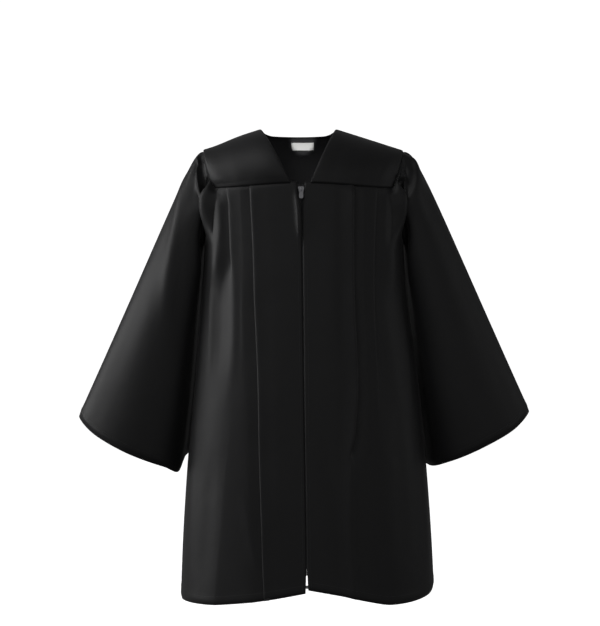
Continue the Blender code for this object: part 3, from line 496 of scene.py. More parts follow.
# %% Surface of a front
FRONT_CREASES = {
    "left": (
        (0.127, -0.070, 0.132, -0.235, 0.0150, 0.0068, 0.0),
        (0.168, -0.200, 0.190, -0.640, 0.0150, 0.0022, 0.0),
        (0.045, -0.300, 0.038, -0.620, 0.0180, 0.0012, 0.0),
        (0.040, -0.100, 0.020, -0.200, 0.0160, -0.0008, 0.0),
        (0.090, -0.520, 0.066, -0.640, 0.0090, 0.0012, 0.3),
        (0.140, -0.470, 0.155, -0.655, 0.0140, -0.0014, 0.0),
        (0.0085, -0.088, 0.0036, -0.165, 0.0046, 0.0056, -0.4),
    ),
    "right": (
        (0.127, -0.070, 0.132, -0.235, 0.0150, 0.0050, 0.0),
        (0.040, -0.120, 0.036, -0.330, 0.0160, 0.0009, 0.0),
        (0.025, -0.430, 0.050, -0.640, 0.0130, -0.0014, 0.2),
        (0.085, -0.560, 0.094, -0.650, 0.0100, 0.0010, 0.0),
        (0.150, -0.130, 0.165, -0.400, 0.0090, 0.0010, 0.3),
        (0.172, -0.230, 0.196, -0.640, 0.0140, 0.0018, 0.0),
        (0.130, -0.380, 0.140, -0.630, 0.0150, -0.0012, 0.0),
    ),
}


def front_columns(side, share, z, end):
    """Distance across and out of the section for each column of a front, from the zip edge outwards."""
    length = quarter_length(z, side, "front")
    zip_z = YOKE_CENTRE_Z + (read(FRONT_HEM, side, 0.0) - YOKE_CENTRE_Z) * share
    start = SIDES[side] * (read(ZIP, "x", zip_z) - middle(zip_z)) + read(ZIP, "half_gap", zip_z)
    across, out, reached = [], [], start
    for kind, (rows, (rise, gone, full)) in enumerate(zip(PLEATS[side], OPEN_RISE[side])):
        pressed_step = PLEAT_STEP[side][kind] * (0.35 + 0.65 * ease(0.0, 0.02, share))
        pressed_step = pressed_step * (1 + 0.22 * np.sin(41 * z + 2 * kind) + 0.14 * np.sin(97 * z))
        rise = rise * ease(gone, full, z)
        edge = read(rows, "edge", z)
        loose = np.clip(read(rows, "loose", z), 0, 1)
        first = edge - PLEAT_TAIL
        for k in range(4 if reached is start else 0):
            across.append(reached + (first - reached) * k / 4)
            out.append(0 * z)
        for tails, unders, extra, steps, *opened in FOLD:
            open_tails, open_rise = opened[kind]
            pressed = tails * PLEAT_TAIL + unders * PLEAT_UNDER + extra
            across.append(edge + pressed + (open_tails * PLEAT_TAIL - pressed) * loose)
            out.append(steps * pressed_step + (open_rise * rise - steps * pressed_step) * loose)
        reached = across[-1]
    rolls = len(EDGE_ROLL)
    for k in range(rolls):
        across.append(reached + (end * length - reached) * (k + 1) / rolls)
        out.append(0 * z)
    return np.array(across), np.array(out), length


def front_points(side):
    """Middle surface of a front with its pleats and edge roll; make_front adds the creases and turned edges."""
    underarm = (YOKE_CORNER_Z - UNDERARM_Z) / (YOKE_CORNER_Z - read(FRONT_HEM, side, 1.0))
    share = np.concatenate([np.linspace(0, underarm, 46)[:-1], np.linspace(underarm, 1, 110)])
    edge_z = YOKE_CORNER_Z + (read(FRONT_HEM, side, 1.0) - YOKE_CORNER_Z) * share
    seam = armhole_at(edge_z, side, "front")
    end = np.where(edge_z > UNDERARM_Z + 1e-6, place_of_depth(seam[..., 1], edge_z, side, "front"), 1.0)
    across, out, length = front_columns(side, share, edge_z, end)
    place = across / length
    hem = read(FRONT_HEM, side, np.abs(place))
    top = yoke_seam_z(place)
    z = top + (hem - top) * share
    near_top = ease(0.004, 0.0, top - z)
    z = z + SEAM_TUCK * near_top ** 2
    points = section(place, z, side, "front", out - SEAM_INSET * near_top)
    rolls = len(EDGE_ROLL)
    roll = ease(ROLL_GONE_Z, ROLL_FULL_Z, z[-rolls:])[..., None]
    seam = armhole_at(z[-rolls:], side, "front")
    outward = np.array([row[0] for row in EDGE_ROLL])[:, None]
    forward = np.array([row[1] for row in EDGE_ROLL])[:, None] * (0.35 + 0.65 * ease(0.0, 0.02, share))
    raised = ROLL_LIFT * np.clip(outward / 0.0136, 0, 1) * ease(0.055, 0.0, share)
    shift = [SIDES[side] * outward * (0.45 + 0.55 * ease(0.0, 0.03, share)), -forward + 0 * seam[..., 0], raised]
    rolled = seam + np.stack(np.broadcast_arrays(*shift), axis=-1)
    points[-rolls:] += (rolled - points[-rolls:]) * roll
    both = finer(np.concatenate([points, across[..., None]], axis=-1), 0.0030)
    return both[..., :3], both[..., 3]


def make_front(side, cloth):
    points, across = front_points(side)
    width, length, area = cut_size(points)
    outward = normals_of(points, np.array([0.0, -1.0, 0.0]))
    quiet = ease(0.0, 0.03, points[:, :1, 2] - points[..., 2]) * ease(0.0, 0.003, lengths(points, 0))
    points = points + outward * (crease_field(FRONT_CREASES[side], across, points[..., 2]) * quiet)[..., None]
    points = hem_and_edges(points, outward, first=0.0006 if side == "left" else 0.0, hem=0.0012)
    piece = grid_mesh(f"cloth_front_{side}", points)
    dress(piece, f"front_{side}", "cloth", *cloth)
    print(piece.name, "cut", round(width, 3), "x", round(length, 3), "m,", round(area, 4), "m2", points.shape)
    return piece, points, outward

# %% [markdown]
# ## The yokes
# A yoke is flat cloth laid over the shoulder, so it shows no folds, only a few faint ones where the arm
# pulls. Its lower edge is turned under and laid over the top of the front, which is why the front is
# drawn up behind it. The back yoke is one piece from armhole to armhole.

# %% Yokes
YOKE_PROUD = 0.0004  # the turned lower edge stands this far in front of the panel
YOKE_CREASES = {
    "left": (
        (0.012, -0.010, 0.016, -0.088, 0.0340, 0.0040, 0.0),
        (0.100, -0.020, 0.104, -0.090, 0.0200, 0.0032, 0.0),
        (0.052, -0.030, 0.070, -0.084, 0.0130, 0.0006, 0.0),
    ),
    "right": (
        (0.054, -0.024, 0.066, -0.080, 0.0100, 0.0008, 0.0),
        (0.094, -0.030, 0.100, -0.086, 0.0090, 0.0005, -0.2),
        (0.020, -0.030, 0.028, -0.082, 0.0090, -0.0005, 0.0),
    ),
}
BACK_YOKE_CREASES = (
    (0.060, -0.020, 0.052, -0.082, 0.0120, 0.0010, 0.0),
    (0.140, -0.020, 0.146, -0.082, 0.0140, 0.0008, 0.0),
    (0.215, -0.024, 0.226, -0.082, 0.0100, 0.0011, 0.0),
)


def finish_yoke(name, points, facing, creases, edges, cloth):
    """Adds the creases, a soft bead along every edge and the lower edge's proud line, and makes the mesh."""
    width, length, area = cut_size(points)
    outward = normals_of(points, np.asarray(facing, float))
    across, down = lengths(points, 0), lengths(points, 1)
    from_low = down[:, -1:] - down
    calm = ease(0.0, 0.010, down) * ease(0.0, 0.012, from_low)
    proud = YOKE_PROUD * ease(0.010, 0.002, from_low)
    move = crease_field(creases, across, points[..., 2]) * calm + proud
    points = hem_and_edges(points + outward * move[..., None], outward, **edges)
    points = hem_and_edges(points, outward, hem=0.0009, hem_depth=0.0045)
    piece = grid_mesh(f"cloth_{name}", points, outwards=facing)
    dress(piece, name, "cloth", *cloth)
    print(piece.name, "cut", round(width, 3), "x", round(length, 3), "m", points.shape)
    return piece, points, outward


def make_yokes(cloth):
    made = {}
    down = np.linspace(0, 1, 44)[None, :]
    for side in SIDES:
        points = yoke_front(np.linspace(0, 1, 60)[:, None], down, side)
        edges = {"first": 0.0010, "last": 0.0006, "top": 0.0006}
        made[side] = finish_yoke(f"yoke_front_{side}", points, (0, -1, 0), YOKE_CREASES[side], edges, cloth)
    across = np.concatenate([np.linspace(-1, -NECK_SHARE, 34)[:-1], np.linspace(-NECK_SHARE, NECK_SHARE, 60),
                             np.linspace(NECK_SHARE, 1, 34)[1:]])
    points = yoke_back(across[:, None], down)
    edges = {"first": 0.0006, "last": 0.0006, "top": 0.0009}
    made["back"] = finish_yoke("yoke_back", points, (0, 1, 0), BACK_YOKE_CREASES, edges, cloth)
    return made


# %% [markdown]
# ## The back
# The back is cut wider than its yoke and drawn up on a thread: many small gathers start at the seam, and
# further down they run together into fewer, deeper folds. Both are waves of the distance across; the
# small ones fade out as the large ones come in, and no two folds have the same width.

# %% Surface of the back
BACK_GATHERS, BACK_FOLDS, GATHER_HEIGHT, BACK_FOLD_HEIGHT = 10, 6, 0.0024, 0.0080
BACK_CREASES = (
    (0.120, -0.120, 0.118, -0.420, 0.0060, 0.0016, 0.5),
    (0.185, -0.110, 0.200, -0.520, 0.0080, 0.0018, -0.4),
    (0.262, -0.130, 0.250, -0.380, 0.0060, 0.0014, 0.3),
    (0.330, -0.150, 0.345, -0.600, 0.0090, 0.0018, 0.0),
    (0.060, -0.200, 0.050, -0.640, 0.0110, 0.0020, 0.0),
    (0.400, -0.260, 0.430, -0.640, 0.0120, 0.0018, 0.2),
)


def back_points():
    """Gathers sin(10 turn) that fade between 0.1 and 0.3 m down, folds sin(6 turn) that grow to 0.45 m."""
    across = np.linspace(-1, 1, 281)
    share_low = np.linspace(0, 1, 80)[1:]
    points = []
    for side, mask in (("left", across < 0), ("right", across >= 0)):
        hem_side = read(BACK_HEM, side, 1.0)
        underarm = (YOKE_CORNER_Z - UNDERARM_Z) / (YOKE_CORNER_Z - hem_side)
        share = np.concatenate([np.linspace(0, underarm, 36), underarm + (1 - underarm) * share_low])
        edge_z = YOKE_CORNER_Z + (hem_side - YOKE_CORNER_Z) * share
        seam = armhole_at(edge_z, side, "back")
        end = np.where(edge_z > UNDERARM_Z + 1e-6, place_of_depth(seam[..., 1], edge_z, side, "back"), 1.0)
        part = np.abs(across[mask])[:, None]
        place = part * end
        top = yoke_seam_z(place)
        z = top + (read(BACK_HEM, side, place) - top) * share
        near_top = ease(0.004, 0.0, top - z)
        quiet = ease(1.0, 0.82, part)
        turn = across[mask][:, None] * math.pi
        sharp = 0.22 * np.sin(2 * turn * BACK_GATHERS + 0.7) + 0.10 * np.sin(3 * turn * BACK_GATHERS)
        gather = (np.sin(turn * BACK_GATHERS) + sharp) * GATHER_HEIGHT * ease(-0.300, -0.100, z)
        deep = np.sin(turn * BACK_FOLDS + 0.4) * BACK_FOLD_HEIGHT * ease(-0.100, -0.450, z)
        out = (gather + deep) * quiet * (1 - 0.8 * near_top) - SEAM_INSET * near_top
        tuck = SEAM_TUCK * (1 + 1.6 * ease(0.86, 0.97, part))
        points.append(section(place, z + tuck * near_top ** 2, side, "back", out))
    return np.concatenate(points)


def make_back(cloth):
    points = back_points()
    width, length, area = cut_size(points)
    outward = normals_of(points, np.array([0.0, 1.0, 0.0]))
    calm = ease(0.0, 0.02, lengths(points, 1)) * ease(0.0, 0.01, lengths(points, 0))
    move = crease_field(BACK_CREASES, lengths(points, 0), points[..., 2]) * calm
    points = hem_and_edges(points + outward * move[..., None], outward, hem=0.0012)
    piece = grid_mesh("cloth_back", points, outwards=(0, 1, 0))
    dress(piece, "back", "cloth", *cloth)
    print(piece.name, "cut", round(width, 3), "x", round(length, 3), "m", points.shape)
    return piece, points, outward


# %% [markdown]
# ## The sleeves
# A bell sleeve is a wide tube: it starts on the armhole, stands out over the shoulder and falls to an
# open cuff. Here every thread down it is one Bezier curve: its start lies on the armhole, its end on the
# cuff's ring, and the two handles say how it leaves the seam and how it arrives. The head is gathered,
# so small tucks start at the seam; one heavy fold hangs before the armhole and throws the dark hollow.

# %% Sizes of the sleeves
CUFF = {
    "left": {"names": ("degrees", "x", "y", "z"), "rows": (
        (0, -0.322, 0.002, -0.413),
        (45, -0.300, -0.030, -0.4360),
        (90, -0.252, -0.043, -0.4620),
        (135, -0.202, -0.026, -0.4830),
        (160, -0.182, -0.004, -0.4920),
        (180, -0.172, 0.026, -0.4740),
        (215, -0.161, 0.064, -0.464),
        (270, -0.222, 0.074, -0.452),
        (315, -0.290, 0.047, -0.431),
    )},
    "right": {"names": ("degrees", "x", "y", "z"), "rows": (
        (0, 0.3240, 0.002, -0.406),
        (45, 0.3005, -0.030, -0.4300),
        (90, 0.256, -0.043, -0.4540),
        (135, 0.212, -0.028, -0.4750),
        (160, 0.192, -0.002, -0.4840),
        (180, 0.182, 0.030, -0.4860),
        (215, 0.174, 0.066, -0.4720),
        (270, 0.234, 0.074, -0.446),
        (315, 0.297, 0.047, -0.424),
    )},
}
PATHS = {"names": ("degrees", "out_1", "narrow_1", "down_1", "out_2", "forward_2", "down_2"), "rows": (
    (0, 0.021, 0.000, 0.003, 0.043, 0.002, 0.070),
    (45, 0.020, 0.003, 0.004, 0.036, 0.006, 0.070),
    (90, 0.021, 0.009, 0.000, 0.034, 0.004, 0.060),
    (135, 0.018, 0.011, 0.000, 0.023, -0.006, 0.050),
    (180, 0.008, 0.002, 0.000, 0.002, -0.040, 0.060),
    (200, 0.010, 0.004, 0.000, -0.004, -0.052, 0.060),
    (225, 0.023, 0.021, 0.000, 0.002, -0.030, 0.052),
    (270, 0.021, 0.006, 0.000, 0.034, -0.008, 0.065),
    (315, 0.020, 0.000, 0.004, 0.036, -0.010, 0.075),
)}
TOP_SHIFT = {"left": (0.000, -0.004), "right": (0.004, 0.001)}
LAP = 0.0021  # the sleeve starts this far inside the armhole
HEAD_GATHERS, HEAD_GATHER_HEIGHT = 17, 0.0017
BELL_WAVES, BELL_WAVE_HEIGHT = 5, 0.0030  # the front is calmer than the back
# centre and spread in degrees, distance down, width before it and beyond it, height; the place falls back
# towards the fold's ends
HEAD_FOLDS = {
    "left": ((92, 92, 0.262, 0.034, 0.110, 0.0030), (92, 92, 0.262, 0.014, 0.020, 0.0036),
             (88, 80, 0.155, 0.055, 0.060, -0.0060),
             (62, 46, 0.300, 0.085, 0.100, -0.0065),
             (62, 22, 0.120, 0.020, 0.024, 0.0026), (86, 20, 0.150, 0.018, 0.022, 0.0030),
             (272, 78, 0.28, 0.080, 0.100, 0.0090)),
    "right": ((66, 66, 0.320, 0.050, 0.120, 0.0060), (90, 66, 0.170, 0.050, 0.060, -0.0040),
              (70, 20, 0.130, 0.020, 0.022, 0.0026), (92, 18, 0.150, 0.018, 0.020, 0.0028),
              (275, 75, 0.28, 0.080, 0.100, 0.0090)),
}
# from degrees and share down to degrees and share down, width in degrees, height, steep side
SLEEVE_CREASES = {
    "left": (
        (14, -0.36, 104, -0.80, 18.0, 0.0030, 0.0),
        (114, -0.34, 108, -1.06, 24.0, 0.0050, 0.0),
        (137, -0.36, 140, -1.06, 24.0, 0.0135, 0.0),
        (-40, -0.30, -34, -1.05, 14.0, 0.0040, 0.3),
        (-85, -0.35, -80, -1.00, 15.0, -0.0034, 0.0),
        (-125, -0.35, -122, -1.00, 14.0, 0.0034, -0.3),
    ),
    "right": (
        (72, -0.03, 66, -0.15, 6.0, 0.0078, 0.0),
        (66, -0.13, 92, -0.28, 7.0, 0.0046, 0.0),
        (112, -0.36, 106, -1.06, 24.0, 0.0052, 0.0),
        (137, -0.36, 140, -1.06, 24.0, 0.0135, 0.0),
        (-36, -0.30, -30, -1.05, 13.0, 0.0036, 0.3),
        (-78, -0.35, -76, -1.00, 15.0, -0.0030, 0.0),
        (-120, -0.35, -116, -1.00, 13.0, 0.0036, -0.3),
    ),
}


# %% Surface of a sleeve
def sleeve_points(side):
    """Start (1-t)^3 + handles 3t(1-t)^2 and 3t^2(1-t) + cuff t^3, then gathers, folds and waves along the normal."""
    end = SIDES[side]
    degrees = np.concatenate([np.arange(-120, 120, 1.25), np.arange(120, 240, 2.4)])
    down = np.concatenate([np.linspace(0, 0.45, 66)[:-1], np.linspace(0.45, 1, 56)])
    start = armhole_ring(degrees, side)
    inward = np.stack([0 * degrees, -start[:, 1], (SHOULDER_Z + UNDERARM_Z) / 2 - start[:, 2]], axis=-1)
    inward = inward / np.linalg.norm(inward, axis=-1, keepdims=True)
    behind = np.mod(degrees, 360)
    start = start + (LAP * (1 - 0.8 * ease(215, 250, behind) * ease(350, 315, behind)))[:, None] * inward
    cuff = np.stack([read_round(CUFF[side], name, degrees) for name in "xyz"], axis=-1)
    handle = {name: read_round(PATHS, name, degrees) for name in PATHS["names"][1:]}
    near_top = np.clip(np.cos(np.radians(degrees)), 0, 1)
    out_1 = handle["out_1"] + TOP_SHIFT[side][0] * near_top
    out_2 = handle["out_2"] + TOP_SHIFT[side][1] * near_top
    first = start + np.stack([end * out_1, 0 * degrees, -handle["down_1"]], axis=-1)
    first = first + inward * handle["narrow_1"][:, None]
    second = start + np.stack([end * out_2, -handle["forward_2"], -handle["down_2"]], axis=-1)
    t = down[None, :, None]
    start, first, second, cuff = (p[:, None, :] for p in (start, first, second, cuff))
    points = start * (1 - t) ** 3 + first * 3 * t * (1 - t) ** 2 + second * 3 * t * t * (1 - t) + cuff * t ** 3
    outward = normals_of(points, points - points.mean(axis=0), ring=True)
    turn = np.mod(degrees + 180, 360)[:, None] - 180
    angle = np.radians(turn)
    drawn = ease(60, 36, turn) * ease(-115, -86, turn) * ease(0.0, 0.045, down) * ease(0.36, 0.12, down)
    uneven = 0.45 + 0.55 * ease(-20, -60, turn) * (1 + 0.35 * np.sin(angle * 5 + 1.1))
    head = np.sin(angle * HEAD_GATHERS + 0.5 * np.sin(angle * 4)) * HEAD_GATHER_HEIGHT * uneven * drawn
    bell = np.sin(angle * BELL_WAVES + 0.6) * BELL_WAVE_HEIGHT * ease(0.3, 1.0, down) * ease(135, 95, np.abs(turn))
    bell = bell * (1 - 0.75 * ease(-15, 15, turn))
    move = head + bell
    for centre, spread, low, before, beyond, height in HEAD_FOLDS[side]:
        off = np.minimum(np.abs(np.mod(degrees[:, None] - centre + 180, 360) - 180) / spread, 1)
        place = low * (0.25 + 0.75 * np.cos(off * math.pi / 2))
        width = np.where(down < place, before, beyond)
        move = move + height * ease(1.0, 0.5, off) * np.exp(-(((down - place) / width) ** 2))
    move = move + crease_field(SLEEVE_CREASES[side], turn, -down)
    return points + outward * move[..., None], outward


def make_sleeve(side, cloth):
    points, outward = sleeve_points(side)
    width, length, area = cut_size(points, ring=True)
    points = hem_and_edges(points, outward, hem=0.0011)
    piece = grid_mesh(f"cloth_sleeve_{side}", points, ring=True, outwards=outward)
    dress(piece, f"sleeve_{side}", "cloth", *cloth)
    print(piece.name, "cut", round(width, 3), "x", round(length, 3), "m", points.shape)
    return piece, points, outward

# %% [markdown]
# ## Small hard and woven parts
# The zip is bought ready made: two woven tapes, a nylon coil sewn to the edge of each, a pressed slider
# with a bail, a pull and an end box. The coil is a wire wound round a line, so it is a circle swept along
# a helix; the slider and the pull are stampings, so each is an outline given a thickness.

# %% Tubes, plates and boxes
def tube(name, path, radius, sides=6, up=(0, 0, 1), flat=1.0):
    """A circle swept along a path, squeezed by flat across; the ends are closed."""
    path = np.asarray(path, float)
    along = np.gradient(path, axis=0)
    one = np.cross(along, np.asarray(up, float))
    one = one / np.linalg.norm(one, axis=-1, keepdims=True)
    two = np.cross(along, one)
    two = two / np.linalg.norm(two, axis=-1, keepdims=True)
    angle = np.arange(sides) * 2 * math.pi / sides
    ring = np.cos(angle)[None, :, None] * one[:, None] * flat + np.sin(angle)[None, :, None] * two[:, None]
    points = (path[:, None] + radius * ring).reshape(-1, 3)
    index = np.arange(len(path) * sides).reshape(len(path), sides)
    wrapped = np.concatenate([index, index[:, :1]], axis=1)
    corners = [wrapped[:-1, :-1], wrapped[:-1, 1:], wrapped[1:, 1:], wrapped[1:, :-1]]
    faces = np.stack(corners, axis=-1).reshape(-1, 4).tolist() + [index[0][::-1].tolist(), index[-1].tolist()]
    mesh = bpy.data.meshes.new(name)
    mesh.from_pydata(points, [], faces)
    mesh.shade_smooth()
    piece = bpy.data.objects.new(name, mesh)
    bpy.context.scene.collection.objects.link(piece)
    return piece


def loops_plate(name, outer, inner, near, far, bevel):
    """A plate from y near to far between an outer outline and, if given, an inner one with as many points."""
    count = len(outer)
    layers = [np.insert(loop, 1, y, axis=1) for y in (near, far) for loop in ([outer] if inner is None else [outer, inner])]
    points = np.concatenate(layers)
    k = np.arange(count)
    following = (k + 1) % count

    def band(a, b):
        return np.stack([a * count + k, a * count + following, b * count + following, b * count + k], axis=-1).tolist()

    if inner is None:
        faces = band(1, 0) + [k.tolist(), (count + k[::-1]).tolist()]
    else:
        faces = band(1, 0) + band(0, 2) + band(2, 3) + band(3, 1)
        faces = band(0, 1) + band(2, 0) + band(1, 3) + band(3, 2)
    mesh = bpy.data.meshes.new(name)
    mesh.from_pydata(points, [], faces)
    import bmesh
    body = bmesh.new()
    body.from_mesh(mesh)
    bmesh.ops.recalc_face_normals(body, faces=body.faces)
    body.to_mesh(mesh)
    body.free()
    piece = bpy.data.objects.new(name, mesh)
    bpy.context.scene.collection.objects.link(piece)
    soften = piece.modifiers.new("soften", "BEVEL")
    soften.width, soften.segments, soften.limit_method = bevel, 2, "ANGLE"
    return piece


def outline(half_widths, points_each_side=24):
    """A closed outline, the same left and right, from rows of height and half width."""
    rows = np.array(half_widths, float)
    walk = np.concatenate([[0], np.cumsum(np.linalg.norm(np.diff(rows, axis=0), axis=-1))])
    at = np.linspace(0, walk[-1], points_each_side)
    z, half = np.interp(at, walk, rows[:, 0]), np.interp(at, walk, rows[:, 1])
    right = np.stack([half, z], axis=-1)
    left = np.stack([-half, z], axis=-1)[::-1]
    return np.concatenate([right, left])


# %% [markdown]
# ## The zip
# The teeth run down the middle between the two front edges. Above the slider they part, and at the foot
# the gown shows its slit, which the end box closes. The slider is wider at its shoulders than at its
# foot, because two rows of coil go in at the top and one comes out below.

# %% Sizes of the zip
TAPE_WIDTH, TAPE_WALL, TAPE_TOP_Z, TAPE_END_Z, TAPE_SLIT_Z = 0.0115, 0.0006, -0.0865, -0.6374, -0.6250
TAPE_INSET = 0.0014
SLIDER_Z, SLIDER_HALF, SLIDER_WALL = -0.0940, 0.00475, 0.0014
COIL_PITCH, COIL_WIRE = 0.0013, 0.00027
SLIDER_SHAPE = ((0.00475, 0.0), (0.00475, 0.0026), (0.0043, 0.0036), (0.0030, 0.0042), (0.0010, 0.0041),
                (-0.0018, 0.0033), (-0.0040, 0.0028), (-0.00455, 0.0024), (-0.00475, 0.0014), (-0.00475, 0.0))
PULL_SHAPE = ((0.0009, 0.0), (0.0009, 0.0013), (0.0004, 0.0021), (-0.0012, 0.0023), (-0.0040, 0.0023),
              (-0.0056, 0.0028), (-0.0080, 0.0030), (-0.0112, 0.0029), (-0.0124, 0.0024), (-0.0130, 0.0014),
              (-0.0130, 0.0))
PULL_HOLE = ((-0.0006, 0.0), (-0.0006, 0.0009), (-0.0010, 0.0013), (-0.0034, 0.0013), (-0.0040, 0.0009),
             (-0.0040, 0.0))
BOX_HALF, BOX_TALL, BOX_DEEP = 0.0040, 0.0042, 0.0020


def zip_point(z, inset=0.0, shift=0.0):
    """Point on the zip line at height z, inset behind the front and shifted sideways."""
    z = np.asarray(z, float)
    place = (read(ZIP, "x", z) + shift - middle(z)) / quarter_length(z, "right", "front")
    return section(place, z, "right", "front", -inset)


def zip_lean(z):
    above, below = zip_point(z + SLIDER_HALF), zip_point(z - SLIDER_HALF)
    return math.atan2(float(above[1] - below[1]), float(above[2] - below[2]))


def make_tapes(cloth):
    z = np.concatenate([np.linspace(TAPE_TOP_Z, -0.125, 28)[:-1], np.linspace(-0.125, -0.610, 60)[:-1],
                        np.linspace(-0.610, TAPE_END_Z, 24)])
    half = 0.0002 + 0.0009 * ease(-0.100, SLIDER_Z, z) + 0.0013 * ease(-0.6235, -0.6252, z)
    for side, end in SIDES.items():
        share = np.linspace(0, 1, 12)[:, None]
        across = end * (read(ZIP, "x", z) - middle(z)) + half + (TAPE_WIDTH - half) * share
        points = section(across / quarter_length(z, side, "front"), z + 0 * share, side, "front", -TAPE_INSET)
        width, length, area = cut_size(points)
        piece = grid_mesh(f"woven_tape_{side}", points, wall=TAPE_WALL)
        dress(piece, f"zip_tape_{side}", "zip_tape", cloth)
    print("tapes", round(length, 3), "m long")


def make_coil(nylon):
    """Two helices side by side, half a turn apart, so that each runs between the loops of the other."""
    turns = (-0.1035 + 0.6240) / COIL_PITCH
    count = int(turns * 10)
    share = np.linspace(0, 1, count)
    z = -0.1035 + (-0.6240 + 0.1035) * share
    for side, end in SIDES.items():
        angle = share * turns * 2 * math.pi + (0 if end > 0 else math.pi)
        line = zip_point(z, inset=0.0010)
        line[:, 0] += end * 0.00055 + 0.0009 * np.cos(angle)
        line[:, 1] += 0.00065 * np.sin(angle)
        piece = tube(f"zip_coil_{side}", line, COIL_WIRE, sides=5)
        dress(piece, None, "zip_tape", nylon)
    print("coil", int(turns), "turns each side")


def lay(piece, here, lean):
    """Turns a piece made about its own middle to the lean of the front and moves it there."""
    mesh = piece.data
    points = np.empty(len(mesh.vertices) * 3)
    mesh.vertices.foreach_get("co", points)
    points = points.reshape(-1, 3)
    cos, sin = math.cos(-lean), math.sin(-lean)
    y, z = points[:, 1] * cos - points[:, 2] * sin, points[:, 1] * sin + points[:, 2] * cos
    mesh.vertices.foreach_set("co", (np.stack([points[:, 0], y, z], axis=-1) + here).ravel())
    mesh.update()


def make_slider(metal):
    here, lean = zip_point(SLIDER_Z), zip_lean(SLIDER_Z)
    face, back = -0.0008, 0.0022
    front = loops_plate("slider_front", outline(SLIDER_SHAPE), None, face, face + SLIDER_WALL, 0.0003)
    behind = loops_plate("slider_back", outline(SLIDER_SHAPE), None, back, back + 0.0010, 0.0002)
    arch = np.array([(0.0, -0.0006, 0.0026), (0.0, -0.0022, 0.0029), (0.0, -0.0034, 0.0025), (0.0, -0.0037, 0.0010),
                     (0.0, -0.0037, -0.0006), (0.0, -0.0033, -0.0016), (0.0, -0.0022, -0.0020), (0.0, -0.0006, -0.0020)])
    arch = smooth(np.linspace(0, 1, len(arch)), arch, np.linspace(0, 1, 40), steady=False)
    bail = tube("slider_bail", arch, 0.00045, sides=12, up=(1, 0, 0), flat=1.0)
    post = loops_plate("slider_post", outline(((0.0045, 0.0), (0.0045, 0.0007), (0.0018, 0.0007), (0.0018, 0.0))),
                       None, face + 0.0005, back + 0.0005, 0.0001)
    for k, piece in enumerate((front, behind, bail, post)):
        lay(piece, here, lean)
        dress(piece, "zip_slider" if k == 0 else None, "zip_metal", metal)
    pivot = np.array([0.0, face - 0.00125, 0.0004])
    pull = loops_plate("pull_tab", outline(PULL_SHAPE), outline(PULL_HOLE), -0.0005, 0.0005, 0.00018)
    turn = -lean
    moved = [0.0, pivot[1] * math.cos(turn) - pivot[2] * math.sin(turn), pivot[1] * math.sin(turn) + pivot[2] * math.cos(turn)]
    lay(pull, here + np.array(moved), lean)
    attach(pull, "zip_pull")
    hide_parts("zip_pull")
    pull.data.materials.append(metal)
    print("slider at", [round(float(v), 4) for v in here])


def make_box(metal):
    top = TAPE_END_Z - 0.0003
    shape = ((0.0, 0.0), (0.0, BOX_HALF), (-BOX_TALL, BOX_HALF), (-BOX_TALL, 0.0))
    piece = loops_plate("end_box", outline(shape), None, 0.0009, 0.0009 + BOX_DEEP, 0.0005)
    lay(piece, zip_point(top), zip_lean(top))
    dress(piece, "zip_box", "zip_metal", metal)
    print("end box", round(2 * BOX_HALF * 1000, 1), "mm wide")


# %% [markdown]
# ## The label
# A narrow woven ribbon, blank. It lies on the inside of the back yoke, so
# its points are the yoke's own points moved inwards.

# %% Label
LABEL_X, LABEL_WIDTH, LABEL_TOP, LABEL_BOTTOM = -0.001, 0.033, 0.255, 0.465


def make_label(ribbon):
    wide = np.linspace(-0.5, 0.5, 40)[:, None]
    down = np.linspace(LABEL_TOP, LABEL_BOTTOM, 18)[None, :]
    scan = np.linspace(-0.4, 0.4, 161)
    at_x = yoke_back(scan, np.full_like(scan, (LABEL_TOP + LABEL_BOTTOM) / 2))[:, 0]
    across = np.interp(LABEL_X + wide * LABEL_WIDTH, at_x, scan) + 0 * down
    points = yoke_back(across, down + 0 * across)
    inward = normals_of(points, np.array([0.0, -1.0, 0.0]))
    lift = 0.0013 + 0.0004 * np.sin(wide * math.pi * 1.6 + 0.5) ** 2 * np.sin((down - LABEL_TOP) / (LABEL_BOTTOM - LABEL_TOP) * math.pi)
    points = points + inward * lift[..., None]
    width, length, area = cut_size(points)
    piece = grid_mesh("woven_label", points, wall=0.0004, outwards=inward)
    dress(piece, "neck_label", "label", ribbon)
    print("label", round(width * 1000, 1), "x", round(length * 1000, 1), "mm")


# %% [markdown]
# ## Stitches
# Thread shows as a row of short beads, each sunk a little into the cloth at both ends. All the beads are
# one mesh: a spindle of a few rings, repeated at even steps along each sewn line.

# %% Rows of stitches
STITCH_LENGTH, STITCH_PITCH, STITCH_RADIUS = 0.0021, 0.0028, 0.00016


def sewn_line(points, outward, distance, where):
    """The line at a distance from the hem, the first or the last edge, and the normals along it."""
    across, down = lengths(points, 0), lengths(points, 1)
    measure = {"hem": down[:, -1:] - down, "first": across, "last": across[-1:] - across}[where]
    if where == "hem":
        at = np.argmin(np.abs(measure - distance), axis=1)
        share = (measure[np.arange(len(at)), at] - distance)[:, None]
        step = points[np.arange(len(at)), np.minimum(at + 1, points.shape[1] - 1)] - points[np.arange(len(at)), at]
        step = step / np.maximum(np.linalg.norm(step, axis=-1, keepdims=True), 1e-9)
        return points[np.arange(len(at)), at] + step * share, outward[np.arange(len(at)), at]
    at = np.argmin(np.abs(measure - distance), axis=0)
    return points[at, np.arange(len(at))], outward[at, np.arange(len(at))]


